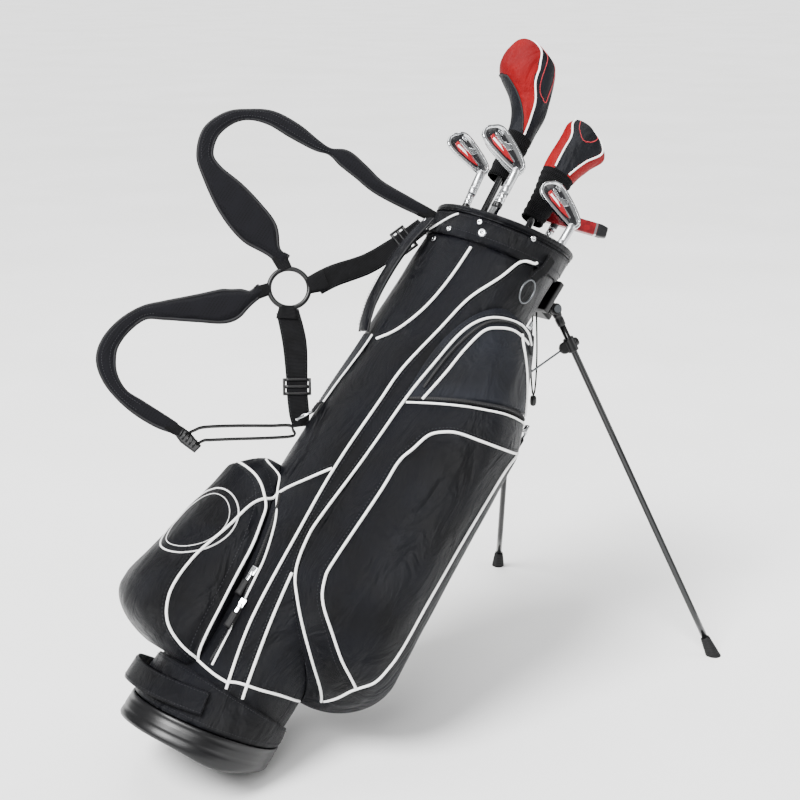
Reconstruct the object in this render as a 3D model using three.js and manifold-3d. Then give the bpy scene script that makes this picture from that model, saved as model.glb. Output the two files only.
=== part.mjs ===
// A golf club set: a stand bag leaning on its two open legs, with seven clubs in it.
// Millimetres, +Z up. The bag leans towards +X, and its stand is on the +X side.
//
// Nearly everything is drawn in the bag's own frame, which a group leans over at the end:
//   z runs up the bag from the centre of its base, x points to the stand side and y to the far side.
import * as THREE from 'three';
import { mergeVertices } from 'three/addons/utils/BufferGeometryUtils.js';
import Module from 'manifold-3d';

const wasm = await Module();
wasm.setup();

// ---------------------------------------------------------------- driving dimensions
const gap = 0.3;                          // between pieces that touch
const leanAngle = radians(43);            // of the bag, from upright
const bagLength = 860;                    // centre of the base to centre of the rim
const tubeRadius = 98;
const tubeWall = 3;
const collarRadius = 103;
const collarHeight = 50;
const bootRadius = 105;
const bootHeight = 36;
const bootTilt = radians(12);             // the boot has swung this far shut against the tube
const rimTilt = radians(15);              // the stand side of the rim is the higher one
const baseCentreHeight = 50;              // above the ground, once the bag leans
const legSpread = 243;                    // each foot from the middle plane
const footReach = 826;                    // feet ahead of the base centre, along the ground
const footLift = 0;

const hub = new THREE.Vector3(131, 40, 815);     // far leg's pivot; the near one is its mirror image
const clampDistance = 60;                 // from the pivot, down the leg
const legRadius = 5;

const harnessBearing = 138.2;             // degrees round the bag from the stand side
const clubFloor = 33.5;                   // where the middles of the clubs' butts rest

// ---------------------------------------------------------------- colours and finishes
const finishes = {
  nylon: { color: 0x15171f, roughness: 0.62, metalness: 0 },
  greyNylon: { color: 0x2a2c33, roughness: 0.6, metalness: 0 },
  webbing: { color: 0x101014, roughness: 0.85, metalness: 0 },
  mesh: { color: 0x1b1a1f, roughness: 0.9, metalness: 0 },
  plastic: { color: 0x131417, roughness: 0.45, metalness: 0 },
  legPaint: { color: 0x2a2b2e, roughness: 0.35, metalness: 0.7 },
  rubber: { color: 0x17171a, roughness: 0.8, metalness: 0 },
  chrome: { color: 0xd4d6d8, roughness: 0.12, metalness: 1 },
  wire: { color: 0x55585c, roughness: 0.35, metalness: 1 },
  graphite: { color: 0x17181c, roughness: 0.25, metalness: 0.2 },
  cover: { color: 0xd81f2c, roughness: 0.6, metalness: 0 },
  paintedHead: { color: 0xb5182a, roughness: 0.25, metalness: 0.4 },
  rod: { color: 0xb9b48f, roughness: 0.4, metalness: 0 },
};

function radians(degrees) {
  return THREE.MathUtils.degToRad(degrees);
}

// ---------------------------------------------------------------- solids
function signedVolume(geometry) {
  const position = geometry.getAttribute('position');
  const [a, b, c] = [new THREE.Vector3(), new THREE.Vector3(), new THREE.Vector3()];
  let volume = 0;
  for (let i = 0; i < geometry.index.count; i += 3) {
    a.fromBufferAttribute(position, geometry.index.getX(i));
    b.fromBufferAttribute(position, geometry.index.getX(i + 1));
    c.fromBufferAttribute(position, geometry.index.getX(i + 2));
    volume += a.dot(b.cross(c)) / 6;
  }
  return volume;
}

// Welds a geometry, drops its collapsed triangles and turns it outside out if it needs it.
function closed(geometry) {
  geometry.deleteAttribute('normal');
  geometry.deleteAttribute('uv');
  const welded = mergeVertices(geometry, 1e-4);
  const kept = [];
  for (let i = 0; i < welded.index.count; i += 3) {
    const [a, b, c] = [0, 1, 2].map((corner) => welded.index.getX(i + corner));
    if (a !== b && b !== c && c !== a) kept.push(a, b, c);
  }
  welded.setIndex(kept);
  if (signedVolume(welded) < 0) welded.setIndex(kept.reverse());
  return welded;
}

// Joins rings of points into one closed solid. A looped one has no ends, as a torus has none.
function loft(rings, looped = false) {
  const count = rings[0].length;
  const points = rings.flat();
  const index = [];
  const steps = looped ? rings.length : rings.length - 1;
  for (let r = 0; r < steps; r += 1) {
    for (let i = 0; i < count; i += 1) {
      const next = (i + 1) % count;
      const [a, b] = [r * count + i, r * count + next];
      const above = ((r + 1) % rings.length) * count;
      index.push(a, b, above + next, a, above + next, above + i);
    }
  }
  if (!looped) {
    capRing(rings[0], 0, index, true);
    capRing(rings[rings.length - 1], (rings.length - 1) * count, index, false);
  }
  const geometry = new THREE.BufferGeometry().setFromPoints(points);
  geometry.setIndex(index);
  return closed(geometry);
}

function capRing(ring, start, index, flipped) {
  const normal = new THREE.Vector3();
  ring.forEach((point, i) => normal.add(point.clone().cross(ring[(i + 1) % ring.length])));
  const middle = ring.reduce((sum, point) => sum.add(point), new THREE.Vector3()).divideScalar(ring.length);
  const across = ring[0].clone().sub(middle).normalize();
  const along = normal.clone().normalize().cross(across);
  const flat = ring.map((point) => {
    const arm = point.clone().sub(middle);
    return new THREE.Vector2(arm.dot(across), arm.dot(along));
  });
  for (const [a, b, c] of THREE.ShapeUtils.triangulateShape(flat, [])) {
    index.push(start + a, start + (flipped ? c : b), start + (flipped ? b : c));
  }
}

// Turns a profile, which may change with the bearing, round the bag's axis.
// profileAt(bearing in radians) gives [radius, height] pairs in order round the profile.
function revolve(profileAt, segments) {
  const rings = [];
  for (let s = 0; s < segments; s += 1) {
    const bearing = (s / segments) * 2 * Math.PI;
    rings.push(profileAt(bearing).map(([radius, height]) => around(bearing, radius, height)));
  }
  return loft(rings, true);
}

function around(bearing, radius, height) {
  return new THREE.Vector3(radius * Math.cos(bearing), radius * Math.sin(bearing), height);
}

function at(bearingDegrees, radius, height) {
  return around(radians(bearingDegrees), radius, height);
}

// A straight round bar between two points.
function bar(from, to, radius, sides = 12, endRadius = radius) {
  const length = from.distanceTo(to);
  const geometry = new THREE.CylinderGeometry(endRadius, radius, length, sides);
  const direction = to.clone().sub(from).normalize();
  geometry.applyQuaternion(new THREE.Quaternion().setFromUnitVectors(new THREE.Vector3(0, 1, 0), direction));
  geometry.translate(...from.clone().add(to).multiplyScalar(0.5).toArray());
  return closed(geometry);
}

// A turned piece whose profile [distance along, radius] runs from one point towards another.
function turned(from, towards, profile, sides) {
  const points = profile.map(([along, radius]) => new THREE.Vector2(radius, along));
  const geometry = new THREE.LatheGeometry(points, sides);
  const direction = towards.clone().sub(from).normalize();
  geometry.applyQuaternion(new THREE.Quaternion().setFromUnitVectors(new THREE.Vector3(0, 1, 0), direction));
  geometry.translate(...from.toArray());
  return closed(geometry);
}

function box(width, depth, height, centre) {
  const geometry = new THREE.BoxGeometry(width, depth, height);
  geometry.translate(...centre.toArray());
  return closed(geometry);
}

// A round bar along a curve.
function tubeAlong(curve, radius, sides, steps) {
  const section = new THREE.Shape();
  for (let i = 0; i < sides; i += 1) {
    const turn = (i / sides) * 2 * Math.PI;
    const [x, y] = [radius * Math.cos(turn), radius * Math.sin(turn)];
    if (i === 0) section.moveTo(x, y);
    else section.lineTo(x, y);
  }
  section.closePath();
  return closed(new THREE.ExtrudeGeometry(section, { steps, extrudePath: curve, curveSegments: 1 }));
}

function ringCurve(centre, u, v, radiusU, radiusV) {
  const points = [];
  for (let i = 0; i < 16; i += 1) {
    const turn = (i / 16) * 2 * Math.PI;
    const offset = u.clone().multiplyScalar(radiusU * Math.cos(turn));
    points.push(centre.clone().add(offset).addScaledVector(v, radiusV * Math.sin(turn)));
  }
  return points;
}

// A closed ring of round wire through the points given, which lie in one plane with this normal.
function wireRing(points, normal, wireRadius, sides = 6) {
  const rings = points.map((point, i) => {
    const before = points[(i + points.length - 1) % points.length];
    const after = points[(i + 1) % points.length];
    const out = after.clone().sub(before).normalize().cross(normal);
    const ring = [];
    for (let s = 0; s < sides; s += 1) {
      const turn = (s / sides) * 2 * Math.PI;
      const side = out.clone().multiplyScalar(wireRadius * Math.cos(turn));
      ring.push(point.clone().add(side).addScaledVector(normal, wireRadius * Math.sin(turn)));
    }
    return ring;
  });
  return loft(rings, true);
}

// A band of webbing or padding. Each stop is [point, width]; the face looks along faceNormal.
function band(stops, thickness, faceNormal, steps = 12, puff = 0) {
  const path = new THREE.CatmullRomCurve3(stops.map(([point]) => point), false, 'centripetal');
  const rings = [];
  for (let i = 0; i <= steps; i += 1) {
    const share = i / steps;
    const place = share * (stops.length - 1);
    const lower = Math.min(Math.floor(place), stops.length - 2);
    const width = THREE.MathUtils.lerp(stops[lower][1], stops[lower + 1][1], place - lower);
    const point = path.getPoint(share);
    const across = path.getTangent(share).cross(faceNormal).normalize();
    const half = thickness / 2;
    const edge = width / 2;
    const crown = half + puff;
    const corners = [
      [edge, half * 0.4], [edge * 0.8, half], [0, crown], [-edge * 0.8, half],
      [-edge, half * 0.4], [-edge, -half * 0.4], [-edge * 0.8, -half], [0, -crown],
      [edge * 0.8, -half], [edge, -half * 0.4],
    ];
    rings.push(corners.map(([side, lift]) => point.clone().addScaledVector(across, side)
      .addScaledVector(faceNormal, lift)));
  }
  return loft(rings);
}

// ---------------------------------------------------------------- joins and cuts
function solidOf(geometry) {
  const vertProperties = new Float32Array(geometry.getAttribute('position').array);
  const triVerts = new Uint32Array(geometry.index.array);
  return new wasm.Manifold(new wasm.Mesh({ numProp: 3, vertProperties, triVerts }));
}

function geometryOf(solid) {
  const mesh = solid.getMesh();
  const geometry = new THREE.BufferGeometry();
  geometry.setAttribute('position', new THREE.BufferAttribute(new Float32Array(mesh.vertProperties), 3));
  geometry.setIndex(Array.from(mesh.triVerts));
  return closed(geometry);
}

function join(...pieces) {
  return geometryOf(wasm.Manifold.union(pieces.map(solidOf)));
}

function cut(piece, ...tools) {
  return geometryOf(wasm.Manifold.difference([piece, ...tools].map(solidOf)));
}

// Keeps what lies on the side that the normal points to, past the point given.
function trim(piece, point, normal) {
  const unit = normal.clone().normalize();
  return geometryOf(solidOf(piece).trimByPlane(unit.toArray(), unit.dot(point)));
}

// ---------------------------------------------------------------- the scene
const clubSet = new THREE.Group();
const leaning = new THREE.Group();
leaning.rotation.y = leanAngle;
clubSet.add(leaning);

function piece(name, geometry, finish) {
  const flat = geometry.toNonIndexed();
  flat.computeVertexNormals();
  const mesh = new THREE.Mesh(flat, new THREE.MeshStandardMaterial(finishes[finish]));
  mesh.name = name;
  leaning.add(mesh);
}

// A place given from the base centre along the ground, as seen from the leaning bag.
function groundPlace(x, y, height) {
  const place = new THREE.Vector3(x, y, height - baseCentreHeight);
  return place.applyAxisAngle(new THREE.Vector3(0, 1, 0), -leanAngle);
}

const groundUp = groundPlace(0, 0, 1).sub(groundPlace(0, 0, 0));
const groundPoint = groundPlace(0, 0, 0);

function mirrored(point) {
  return new THREE.Vector3(point.x, -point.y, point.z);
}

function rimHeight(bearing, radius = collarRadius) {
  return bagLength + radius * Math.cos(bearing) * Math.tan(rimTilt);
}

// ---------------------------------------------------------------- tube, collar and rim
const tubeFloor = 26;
const floorThickness = 5.7;
const rimRoll = 11;

piece('bag_tube', revolve((bearing) => {
  const top = rimHeight(bearing) - collarHeight - gap;
  const inner = tubeRadius - tubeWall;
  const floorTop = tubeFloor + floorThickness;
  return [[0, tubeFloor], [tubeRadius, tubeFloor], [tubeRadius, top], [inner, top], [inner, floorTop], [0, floorTop]];
}, 36), 'nylon');

piece('collar_band', revolve((bearing) => {
  const bottom = rimHeight(bearing) - collarHeight;
  const top = rimHeight(bearing) - rimRoll - gap;
  const inner = tubeRadius - tubeWall;
  const flare = tubeRadius + 2;
  return [[flare, bottom], [collarRadius, bottom + 8], [collarRadius, top], [inner, top], [inner, bottom]];
}, 36), 'plastic');

piece('rim_roll', revolve((bearing) => {
  const middle = rimHeight(bearing) - rimRoll / 2;
  const profile = [];
  const [radius, half] = [(collarRadius + tubeRadius - tubeWall) / 2, (collarRadius - tubeRadius + tubeWall) / 2];
  for (let i = 0; i < 8; i += 1) {
    const turn = ((i + 0.5) / 8) * 2 * Math.PI;
    profile.push([radius + (half + 1.5) * Math.cos(turn), middle + (rimRoll / 2) * Math.sin(turn)]);
  }
  return profile;
}, 32), 'nylon');

// Places across the bag, as seen side on: right is towards the lower pocket side, near is towards
// the side that the pockets face.
function across(right, near, height) {
  const turn = radians(harnessBearing - 180);
  const [c, s] = [Math.cos(turn), Math.sin(turn)];
  return new THREE.Vector3(right * c + near * s, right * s - near * c, height);
}

// ---------------------------------------------------------------- the clubs' divider
function dividerBar(rightFrom, rightTo, nearFrom, nearTo) {
  const corners = [[rightFrom, nearFrom], [rightTo, nearFrom], [rightTo, nearTo], [rightFrom, nearTo]];
  return loft([bagLength - 120, bagLength + 60].map((height) => (
    corners.map(([right, near]) => across(right, near, height)))));
}

const barHalf = 2;
const dividerReach = 110;
const middleWall = 9;
const rightWall = 41.5;
const nearWall = 52.4;
const farWall = -12;
const rimNormal = new THREE.Vector3(-Math.sin(rimTilt), 0, Math.cos(rimTilt));
const dividerTop = new THREE.Vector3(0, 0, bagLength - 16);
const dividerBottom = new THREE.Vector3(0, 0, bagLength - 40);
const dividerLimit = revolve(() => [
  [0, bagLength - 130], [tubeRadius - tubeWall - gap, bagLength - 130],
  [tubeRadius - tubeWall - gap, bagLength + 70], [0, bagLength + 70]], 36);
const dividerHoop = revolve(() => [
  [tubeRadius - tubeWall - 3, bagLength - 120], [tubeRadius, bagLength - 120],
  [tubeRadius, bagLength + 60], [tubeRadius - tubeWall - 3, bagLength + 60]], 36);
const dividerBars = join(
  dividerHoop,
  dividerBar(middleWall - barHalf, middleWall + barHalf, -dividerReach, dividerReach),
  dividerBar(rightWall - barHalf, rightWall + barHalf, -dividerReach, dividerReach),
  dividerBar(-dividerReach, middleWall, farWall - barHalf, farWall + barHalf),
  dividerBar(-dividerReach, middleWall, nearWall - barHalf, nearWall + barHalf),
  dividerBar(rightWall, dividerReach, farWall - barHalf, farWall + barHalf),
);
const insideBars = geometryOf(solidOf(dividerBars).intersect(solidOf(dividerLimit)));
piece('club_divider', trim(trim(insideBars, dividerTop, rimNormal.clone().negate()), dividerBottom, rimNormal), 'nylon');

// ---------------------------------------------------------------- base: boot, cuff and grab loop
function bootPlane(radius, bearing) {
  return radius * Math.cos(bearing) * Math.tan(bootTilt);
}

// Two moulded bulges stand down from the boot's lower edge, one on each side.
function bootBulge(bearing) {
  const turn = THREE.MathUtils.radToDeg(Math.abs(Math.atan2(Math.sin(bearing), Math.cos(bearing))));
  return 8 * Math.exp(-(((turn - 106) / 26) ** 2));
}

const bootWall = 3;
const bootShell = revolve((bearing) => {
  const [outer, inner] = [bootRadius, bootRadius - bootWall];
  const rounded = bootRadius - 7;
  const [low, high] = [bootPlane(outer, bearing), bootPlane(outer, bearing) + bootHeight];
  const bulge = bootBulge(bearing);
  return [[0, 0], [rounded, bootPlane(rounded, bearing) - bulge], [outer, low + 5 - bulge], [outer, high], [inner, high],
    [inner, bootPlane(inner, bearing) + 4], [0, 4]];
}, 36);
const lugHeight = 58;
const lug = loft([[bootRadius - 2, 46], [bootRadius + 14, lugHeight - 7]].map(([x, low]) => [
  new THREE.Vector3(x, -9, low), new THREE.Vector3(x, 9, low),
  new THREE.Vector3(x, 9, lugHeight), new THREE.Vector3(x, -9, lugHeight)]));
piece('base_boot', trim(join(bootShell, lug), groundPoint, groundUp), 'plastic');

piece('base_cuff', revolve((bearing) => {
  const low = bootPlane(bootRadius, bearing) + bootHeight + 1.4;
  const [inner, outer] = [tubeRadius + gap, bootRadius - 1];
  return [[inner, low], [outer, low], [outer - 1, 70], [outer - 2, 80], [inner, 80]];
}, 36), 'nylon');

const grabStops = [[222, 106.5, 52], [200, 113, 44], [180, 122, 40], [160, 126, 42], [140, 122, 46],
  [122, 113, 50], [104, 106.5, 54]];
piece('grab_loop', grabBand(), 'webbing');

function grabBand() {
  const path = new THREE.CatmullRomCurve3(grabStops.map(([bearing, radius, height]) => at(bearing, radius, height)));
  const rings = [];
  const steps = 18;
  const [halfWidth, thickness] = [17, 2.4];
  for (let i = 0; i <= steps; i += 1) {
    const point = path.getPoint(i / steps);
    const up = new THREE.Vector3(0, 0, 1);
    const out = path.getTangent(i / steps).cross(up).normalize();
    rings.push([[-halfWidth, 0], [halfWidth, 0], [halfWidth, thickness], [-halfWidth, thickness]]
      .map(([lift, side]) => point.clone().addScaledVector(up, lift).addScaledVector(out, -side)));
  }
  return loft(rings);
}

// ---------------------------------------------------------------- stiffening rod inside the tube
const spineBearing = 75;
const spineRadius = tubeRadius - tubeWall - 3;
const spineTop = rimHeight(radians(spineBearing)) - collarHeight - 6;
piece('tube_spine', bar(at(spineBearing, spineRadius, clubFloor + 1), at(spineBearing, spineRadius, spineTop), 2.4, 8),
  'rod');

// ---------------------------------------------------------------- pockets
// A pocket wraps part of the tube. leftAt, rightAt (bearings in degrees) and fullnessAt (mm) depend
// on the height, and swell says how far out it stands between its two edges.
const tubeClearance = revolve(() => [[0, 0], [tubeRadius + gap, 0], [tubeRadius + gap, bagLength], [0, bagLength]], 36);
function pocket({ heights, leftAt, rightAt, fullnessAt, swell, columns = 14 }) {
  const [inner, hem] = [tubeRadius - 8, tubeRadius + gap + 2.5];
  const filled = loft(heights.map((height) => {
    const ring = [];
    for (let i = 0; i <= columns; i += 1) {
      const bearing = THREE.MathUtils.lerp(leftAt(height), rightAt(height), i / columns);
      ring.push(at(bearing, hem + fullnessAt(height) * swell(i / columns), height));
    }
    for (let i = 4; i >= 0; i -= 1) {
      ring.push(at(THREE.MathUtils.lerp(leftAt(height), rightAt(height), i / 4), inner, height));
    }
    return ring;
  }));
  return cut(filled, tubeClearance);
}

function spaced(from, to, count) {
  return Array.from({ length: count }, (_, i) => THREE.MathUtils.lerp(from, to, i / (count - 1)));
}

const clamp01 = (value) => THREE.MathUtils.clamp(value, 0, 1);

// The long side pod: a valuables pocket above a big apparel pocket, parted by a slanting zip.
const podTop = 731;
const podBottom = 120;
const podHeights = [120, 124, 132, 145, 165, 195, 240, 300, 380, 460, 540, 620, 665, 695, 713, 725, 731];
function podLeft(height) {
  const low = clamp01((285 - height) / 175);
  const high = clamp01((height - 590) / (podTop + 3 - 590));
  return -133 + 105 * low * low + 46 * (1 - Math.sqrt(1 - high * high));
}
function podRight(height) {
  const high = clamp01((height - 690) / (podTop - 690));
  return -25 - 22 * high * high;
}
function podFullness(height) {
  const low = clamp01((210 - height) / (210 - podBottom));
  const fall = clamp01((height - 560) / (podTop - 560));
  const body = THREE.MathUtils.lerp(97, 84, clamp01((height - 250) / 350));
  return Math.max(2, body * Math.sqrt(1 - low * low * 0.995) * (1 - 0.78 * fall ** 1.2));
}
const podSwell = (share) => Math.max(0, Math.sin(Math.PI * share ** 1.7)) ** 0.75;
const pod = pocket({ heights: podHeights, leftAt: podLeft, rightAt: podRight, fullnessAt: podFullness, swell: podSwell });
const zipNormal = across(-0.49, 0, 1).normalize();
const zipPoint = across(13, 98, 546);
piece('apparel_pocket', trim(pod, zipPoint.clone().addScaledVector(zipNormal, -gap / 2), zipNormal.clone().negate()),
  'nylon');
piece('valuables_pocket', trim(pod, zipPoint.clone().addScaledVector(zipNormal, gap / 2), zipNormal), 'greyNylon');

// The ball pocket, low down on the upper side.
const ballMiddle = 140;
const ballBottom = 82;
const ballTop = 384;
function ballHalfAngle(height) {
  const share = clamp01((height - 98) / (ballTop + 2 - 98));
  const low = clamp01((98 - height) / 30);
  return 57 * Math.sqrt(1 - share * share) * (1 - 0.35 * low * low);
}
function ballFullness(height) {
  const high = clamp01((height - 150) / (ballTop + 4 - 150));
  const low = clamp01((135 - height) / (135 - ballBottom + 1));
  const lip = clamp01((ballTop + 2 - height) / 40);
  return 101 * (1 - 0.5 * high) * Math.sqrt(1 - low * low) * lip ** 0.45;
}
piece('ball_pocket', pocket({
  heights: [82, 86, 93, 104, 118, 135, 170, 210, 255, 300, 330, 352, 368, 378, 383],
  leftAt: (height) => ballMiddle + ballHalfAngle(height),
  rightAt: (height) => ballMiddle - ballHalfAngle(height),
  fullnessAt: ballFullness,
  swell: (share) => Math.max(0, Math.sin(Math.PI * share)) ** 0.62,
  columns: 16,
}), 'nylon');

// A slimmer pocket on the far side.
piece('far_pocket', pocket({
  heights: [170, 174, 184, 205, 240, 330, 430, 520, 560, 582, 592, 597],
  leftAt: (height) => 31 + 12 * clamp01((205 - height) / 35) ** 2 + 10 * clamp01((height - 560) / 37) ** 2,
  rightAt: (height) => 79 - 10 * clamp01((205 - height) / 35) ** 2 - 10 * clamp01((height - 560) / 37) ** 2,
  fullnessAt: (height) => 46 * Math.sqrt(1 - 0.98 * clamp01((215 - height) / 45) ** 2)
    * Math.sqrt(1 - 0.95 * clamp01((height - 540) / 57) ** 2),
  swell: (share) => Math.max(0, Math.sin(Math.PI * share)) ** 0.6,
  columns: 10,
}), 'nylon');

// ---------------------------------------------------------------- carry handle
const handleBearing = 160;
const handleOut = at(handleBearing, 1, 0);
const handleSide = new THREE.Vector3(0, 0, 1).cross(handleOut);
function handleGrip() {
  const stops = [[604, 106], [622, 113], [655, 121], [700, 124], [745, 122], [778, 116], [797, 113]];
  const path = new THREE.CatmullRomCurve3(stops.map(([height, radius]) => at(handleBearing, radius, height)));
  const rings = [];
  const steps = 14;
  for (let i = 0; i <= steps; i += 1) {
    const share = i / steps;
    const point = path.getPoint(share);
    const plump = 0.5 + 0.5 * Math.sin(Math.PI * share) ** 0.5;
    const ring = [];
    const normal = path.getTangent(share).cross(handleSide).normalize();
    for (let s = 0; s < 8; s += 1) {
      const turn = ((s + 0.5) / 8) * 2 * Math.PI;
      const wide = handleSide.clone().multiplyScalar(16 * Math.cos(turn));
      ring.push(point.clone().add(wide).addScaledVector(normal, 6.5 * plump * Math.sin(turn)));
    }
    rings.push(ring);
  }
  return loft(rings);
}
piece('carry_handle', handleGrip(), 'nylon');

// ---------------------------------------------------------------- harness
// The harness is held out in one plane, on the handle's side of the bag.
const harnessFace = at(harnessBearing + 90, 1, 0);
function out(radius, height, near = 0) {
  return at(harnessBearing, radius, height).addScaledVector(harnessFace, near);
}
const harnessSide = at(harnessBearing, 1, 0);
const hubHeight = 610;
const hubOut = 224;
const hubRing = ringCurve(out(hubOut, hubHeight), harnessSide, new THREE.Vector3(0, 0, 1), 29, 29);
piece('harness_ring', wireRing(hubRing, harnessFace, 2.6), 'plastic');

const webbingThickness = 2.2;
const collarClearance = revolve(() => [
  [0, 0], [collarRadius + gap, 0], [collarRadius + gap, bagLength + 60], [0, bagLength + 60]], 36);
const webbingToCollar = band([[out(194, 636), 33], [out(179, 662), 33], [out(148, 703), 31], [out(129, 743), 28],
  [out(119, 770), 26], [out(112, 800), 25]], webbingThickness, harnessFace, 14);
piece('webbing_to_collar', cut(webbingToCollar, collarClearance), 'webbing');
const webbingToHip = band([[out(208, 580), 33], [out(175, 546), 35], [out(145, 504), 31], [out(134, 487), 30],
  [out(115, 462), 29], [out(101, 445), 22]], webbingThickness, harnessFace, 14);
piece('webbing_to_hip', cut(webbingToHip, tubeClearance), 'webbing');
piece('shoulder_pad_upper', band([[out(250, 640), 25], [out(270, 644), 22], [out(300, 657), 54], [out(332, 667), 60],
  [out(370, 681), 53], [out(410, 697), 33], [out(433, 714), 26], [out(444, 747), 26], [out(434, 780), 22],
  [out(413, 801), 18], [out(382, 815), 24], [out(343, 817), 26], [out(305, 816), 18], [out(283, 819), 12],
  [out(260, 822), 28], [out(230, 818), 27], [out(196, 812), 24], [out(151, 814), 22], [out(110, 818), 18]],
  9, harnessFace, 40, 2), 'mesh');
piece('shoulder_pad_lower', band([[out(256, 588), 20], [out(262, 571), 20], [out(272, 558), 36], [out(287, 538), 52],
  [out(319, 513), 42], [out(354, 487), 30], [out(378, 467), 22], [out(391, 437), 24], [out(394, 406), 27],
  [out(386, 382), 29], [out(367, 363), 24], [out(340, 351), 20], [out(309, 348), 24], [out(276, 348), 23],
  [out(250, 350), 16]], 9, harnessFace, 34, 2), 'mesh');
piece('ladder_lock', band([[out(246.5, 350.5), 15], [out(232, 347), 20], [out(208, 342), 14]], 6, harnessFace, 4),
  'plastic');

// One long tail of webbing runs from the ladder lock to the hip tab and back again.
function tailWebbing() {
  const route = [out(227, 362), out(217, 374), out(181, 399), out(140, 425), out(117, 440)];
  const back = [out(105, 430), out(134, 408), out(171, 383), out(200, 363), out(208, 357)];
  const points = [...route, ...back];
  return band(points.map((point) => [point, 2.4]), 19, harnessFace, 26);
}
piece('tail_webbing', tailWebbing(), 'webbing');

// The hip tab and its D-ring hang off the bag's side where the lower webbing ends.
const hipPoint = out(78, 470, 30);
piece('d_ring_tab', band([[at(150, 100, 486), 24], [at(150, 101, 470), 24]], 2.4, at(150, 1, 0), 2), 'webbing');

// ---------------------------------------------------------------- adjusters, rings and sliders
function triGlide(centre, along, width, length) {
  const side = along.clone().cross(harnessFace).normalize();
  const frame = (halfWidth, halfLength, lift) => [[1, 1], [-1, 1], [-1, -1], [1, -1]].map(([a, b]) => (
    centre.clone().addScaledVector(side, a * halfWidth).addScaledVector(along, b * halfLength)
      .addScaledVector(harnessFace, lift)));
  const plate = loft([frame(width / 2, length / 2, -4), frame(width / 2, length / 2, 4)]);
  const slot = loft([frame(width / 2 - 2.2, length, -1.9), frame(width / 2 - 2.2, length, 1.9)]);
  return cut(plate, slot);
}
const collarWebbingAlong = out(119, 770).sub(out(129, 743)).normalize();
const hipWebbingAlong = out(134, 487).sub(out(145, 504)).normalize();
piece('tri_glide_collar', triGlide(out(121.5, 763.5), collarWebbingAlong, 38, 24), 'plastic');
piece('tri_glide_hip', triGlide(out(138, 493), hipWebbingAlong, 40, 24), 'plastic');

const dRingSide = at(150 + 90, 1, 0);
const dRingDown = at(150, 0.55, -1).normalize();
const dRingTop = at(150, 104.5, 467);
function dRingPoints() {
  const points = [];
  for (let i = 0; i <= 10; i += 1) {
    const turn = (i / 10) * Math.PI;
    points.push(dRingTop.clone().addScaledVector(dRingSide, 15 * Math.cos(turn))
      .addScaledVector(dRingDown, 4 + 17 * Math.sin(turn)));
  }
  points.push(dRingTop.clone().addScaledVector(dRingSide, -13).addScaledVector(dRingDown, 0));
  points.push(dRingTop.clone().addScaledVector(dRingSide, 13).addScaledVector(dRingDown, 0));
  return points;
}
piece('d_ring', wireRing(dRingPoints(), dRingSide.clone().cross(dRingDown).normalize(), 1.9), 'chrome');

// Towel loop: a short strap on the near side below the collar, with a wire ring in its end.
const towelBearing = -90;
const towelOut = at(towelBearing, 1, 0);
const towelSide = new THREE.Vector3(1, 0, 0);
piece('towel_strap', band([[at(-86, 105, 834), 20], [at(-87, 105, 812), 19], [at(-89, 102, 801), 18], [at(-90, 101, 791), 18]], 2,
  towelOut, 4), 'webbing');
const towelRingCentre = at(towelBearing, 103.4, 770.5);
const towelRing = ringCurve(towelRingCentre, towelSide, new THREE.Vector3(0, 0, 1), 13, 18);
piece('towel_ring', wireRing(towelRing, towelOut, 1.2), 'wire');

function zipSlider(centre, outward, pull) {
  const side = outward.clone().cross(pull).normalize();
  const slab = (from, to, halfWidth, low, high) => loft([[from, low, high], [to, low, high]].map(([along, a, b]) => (
    [[-halfWidth, a], [halfWidth, a], [halfWidth, b], [-halfWidth, b]].map(([w, lift]) => (
      centre.clone().addScaledVector(pull, along).addScaledVector(side, w).addScaledVector(outward, lift))))));
  return join(slab(-6, 6, 4.5, 0, 3.5), slab(2, 7, 2, 2.5, 6), slab(5, 18, 2.5, 3.8, 5.8), slab(16, 36, 4.2, 3, 6.6));
}
const down = new THREE.Vector3(0, 0, -1);
const zipRadius = tubeRadius + gap;
piece('ball_slider_upper', zipSlider(at(198, zipRadius, 232), at(198, 1, 0), down), 'chrome');
piece('ball_slider_lower', zipSlider(at(204.5, zipRadius, 188), at(204.5, 1, 0), down), 'chrome');
const valuablesBearing = -47;
piece('valuables_slider', zipSlider(at(valuablesBearing, 100, 752), at(valuablesBearing, 1, 0),
  at(valuablesBearing + 90, 1, 0)), 'chrome');
const apparelSliderOut = at(-22, 1, 0);
piece('apparel_slider', zipSlider(at(-50, 172, 612), apparelSliderOut, down), 'chrome');

// ---------------------------------------------------------------- stand
const farFoot = groundPlace(footReach, legSpread, footLift);
const openDirection = farFoot.clone().sub(hub).normalize();
const hingeAxis = openDirection.clone().cross(down).normalize();
const foldAngle = openDirection.angleTo(down);
const swingNormal = openDirection.clone().cross(hingeAxis);      // outwards, square to the open leg

function bothSides(draw) {
  draw('far', (point) => point.clone(), 1);
  draw('near', mirrored, -1);
}

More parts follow.
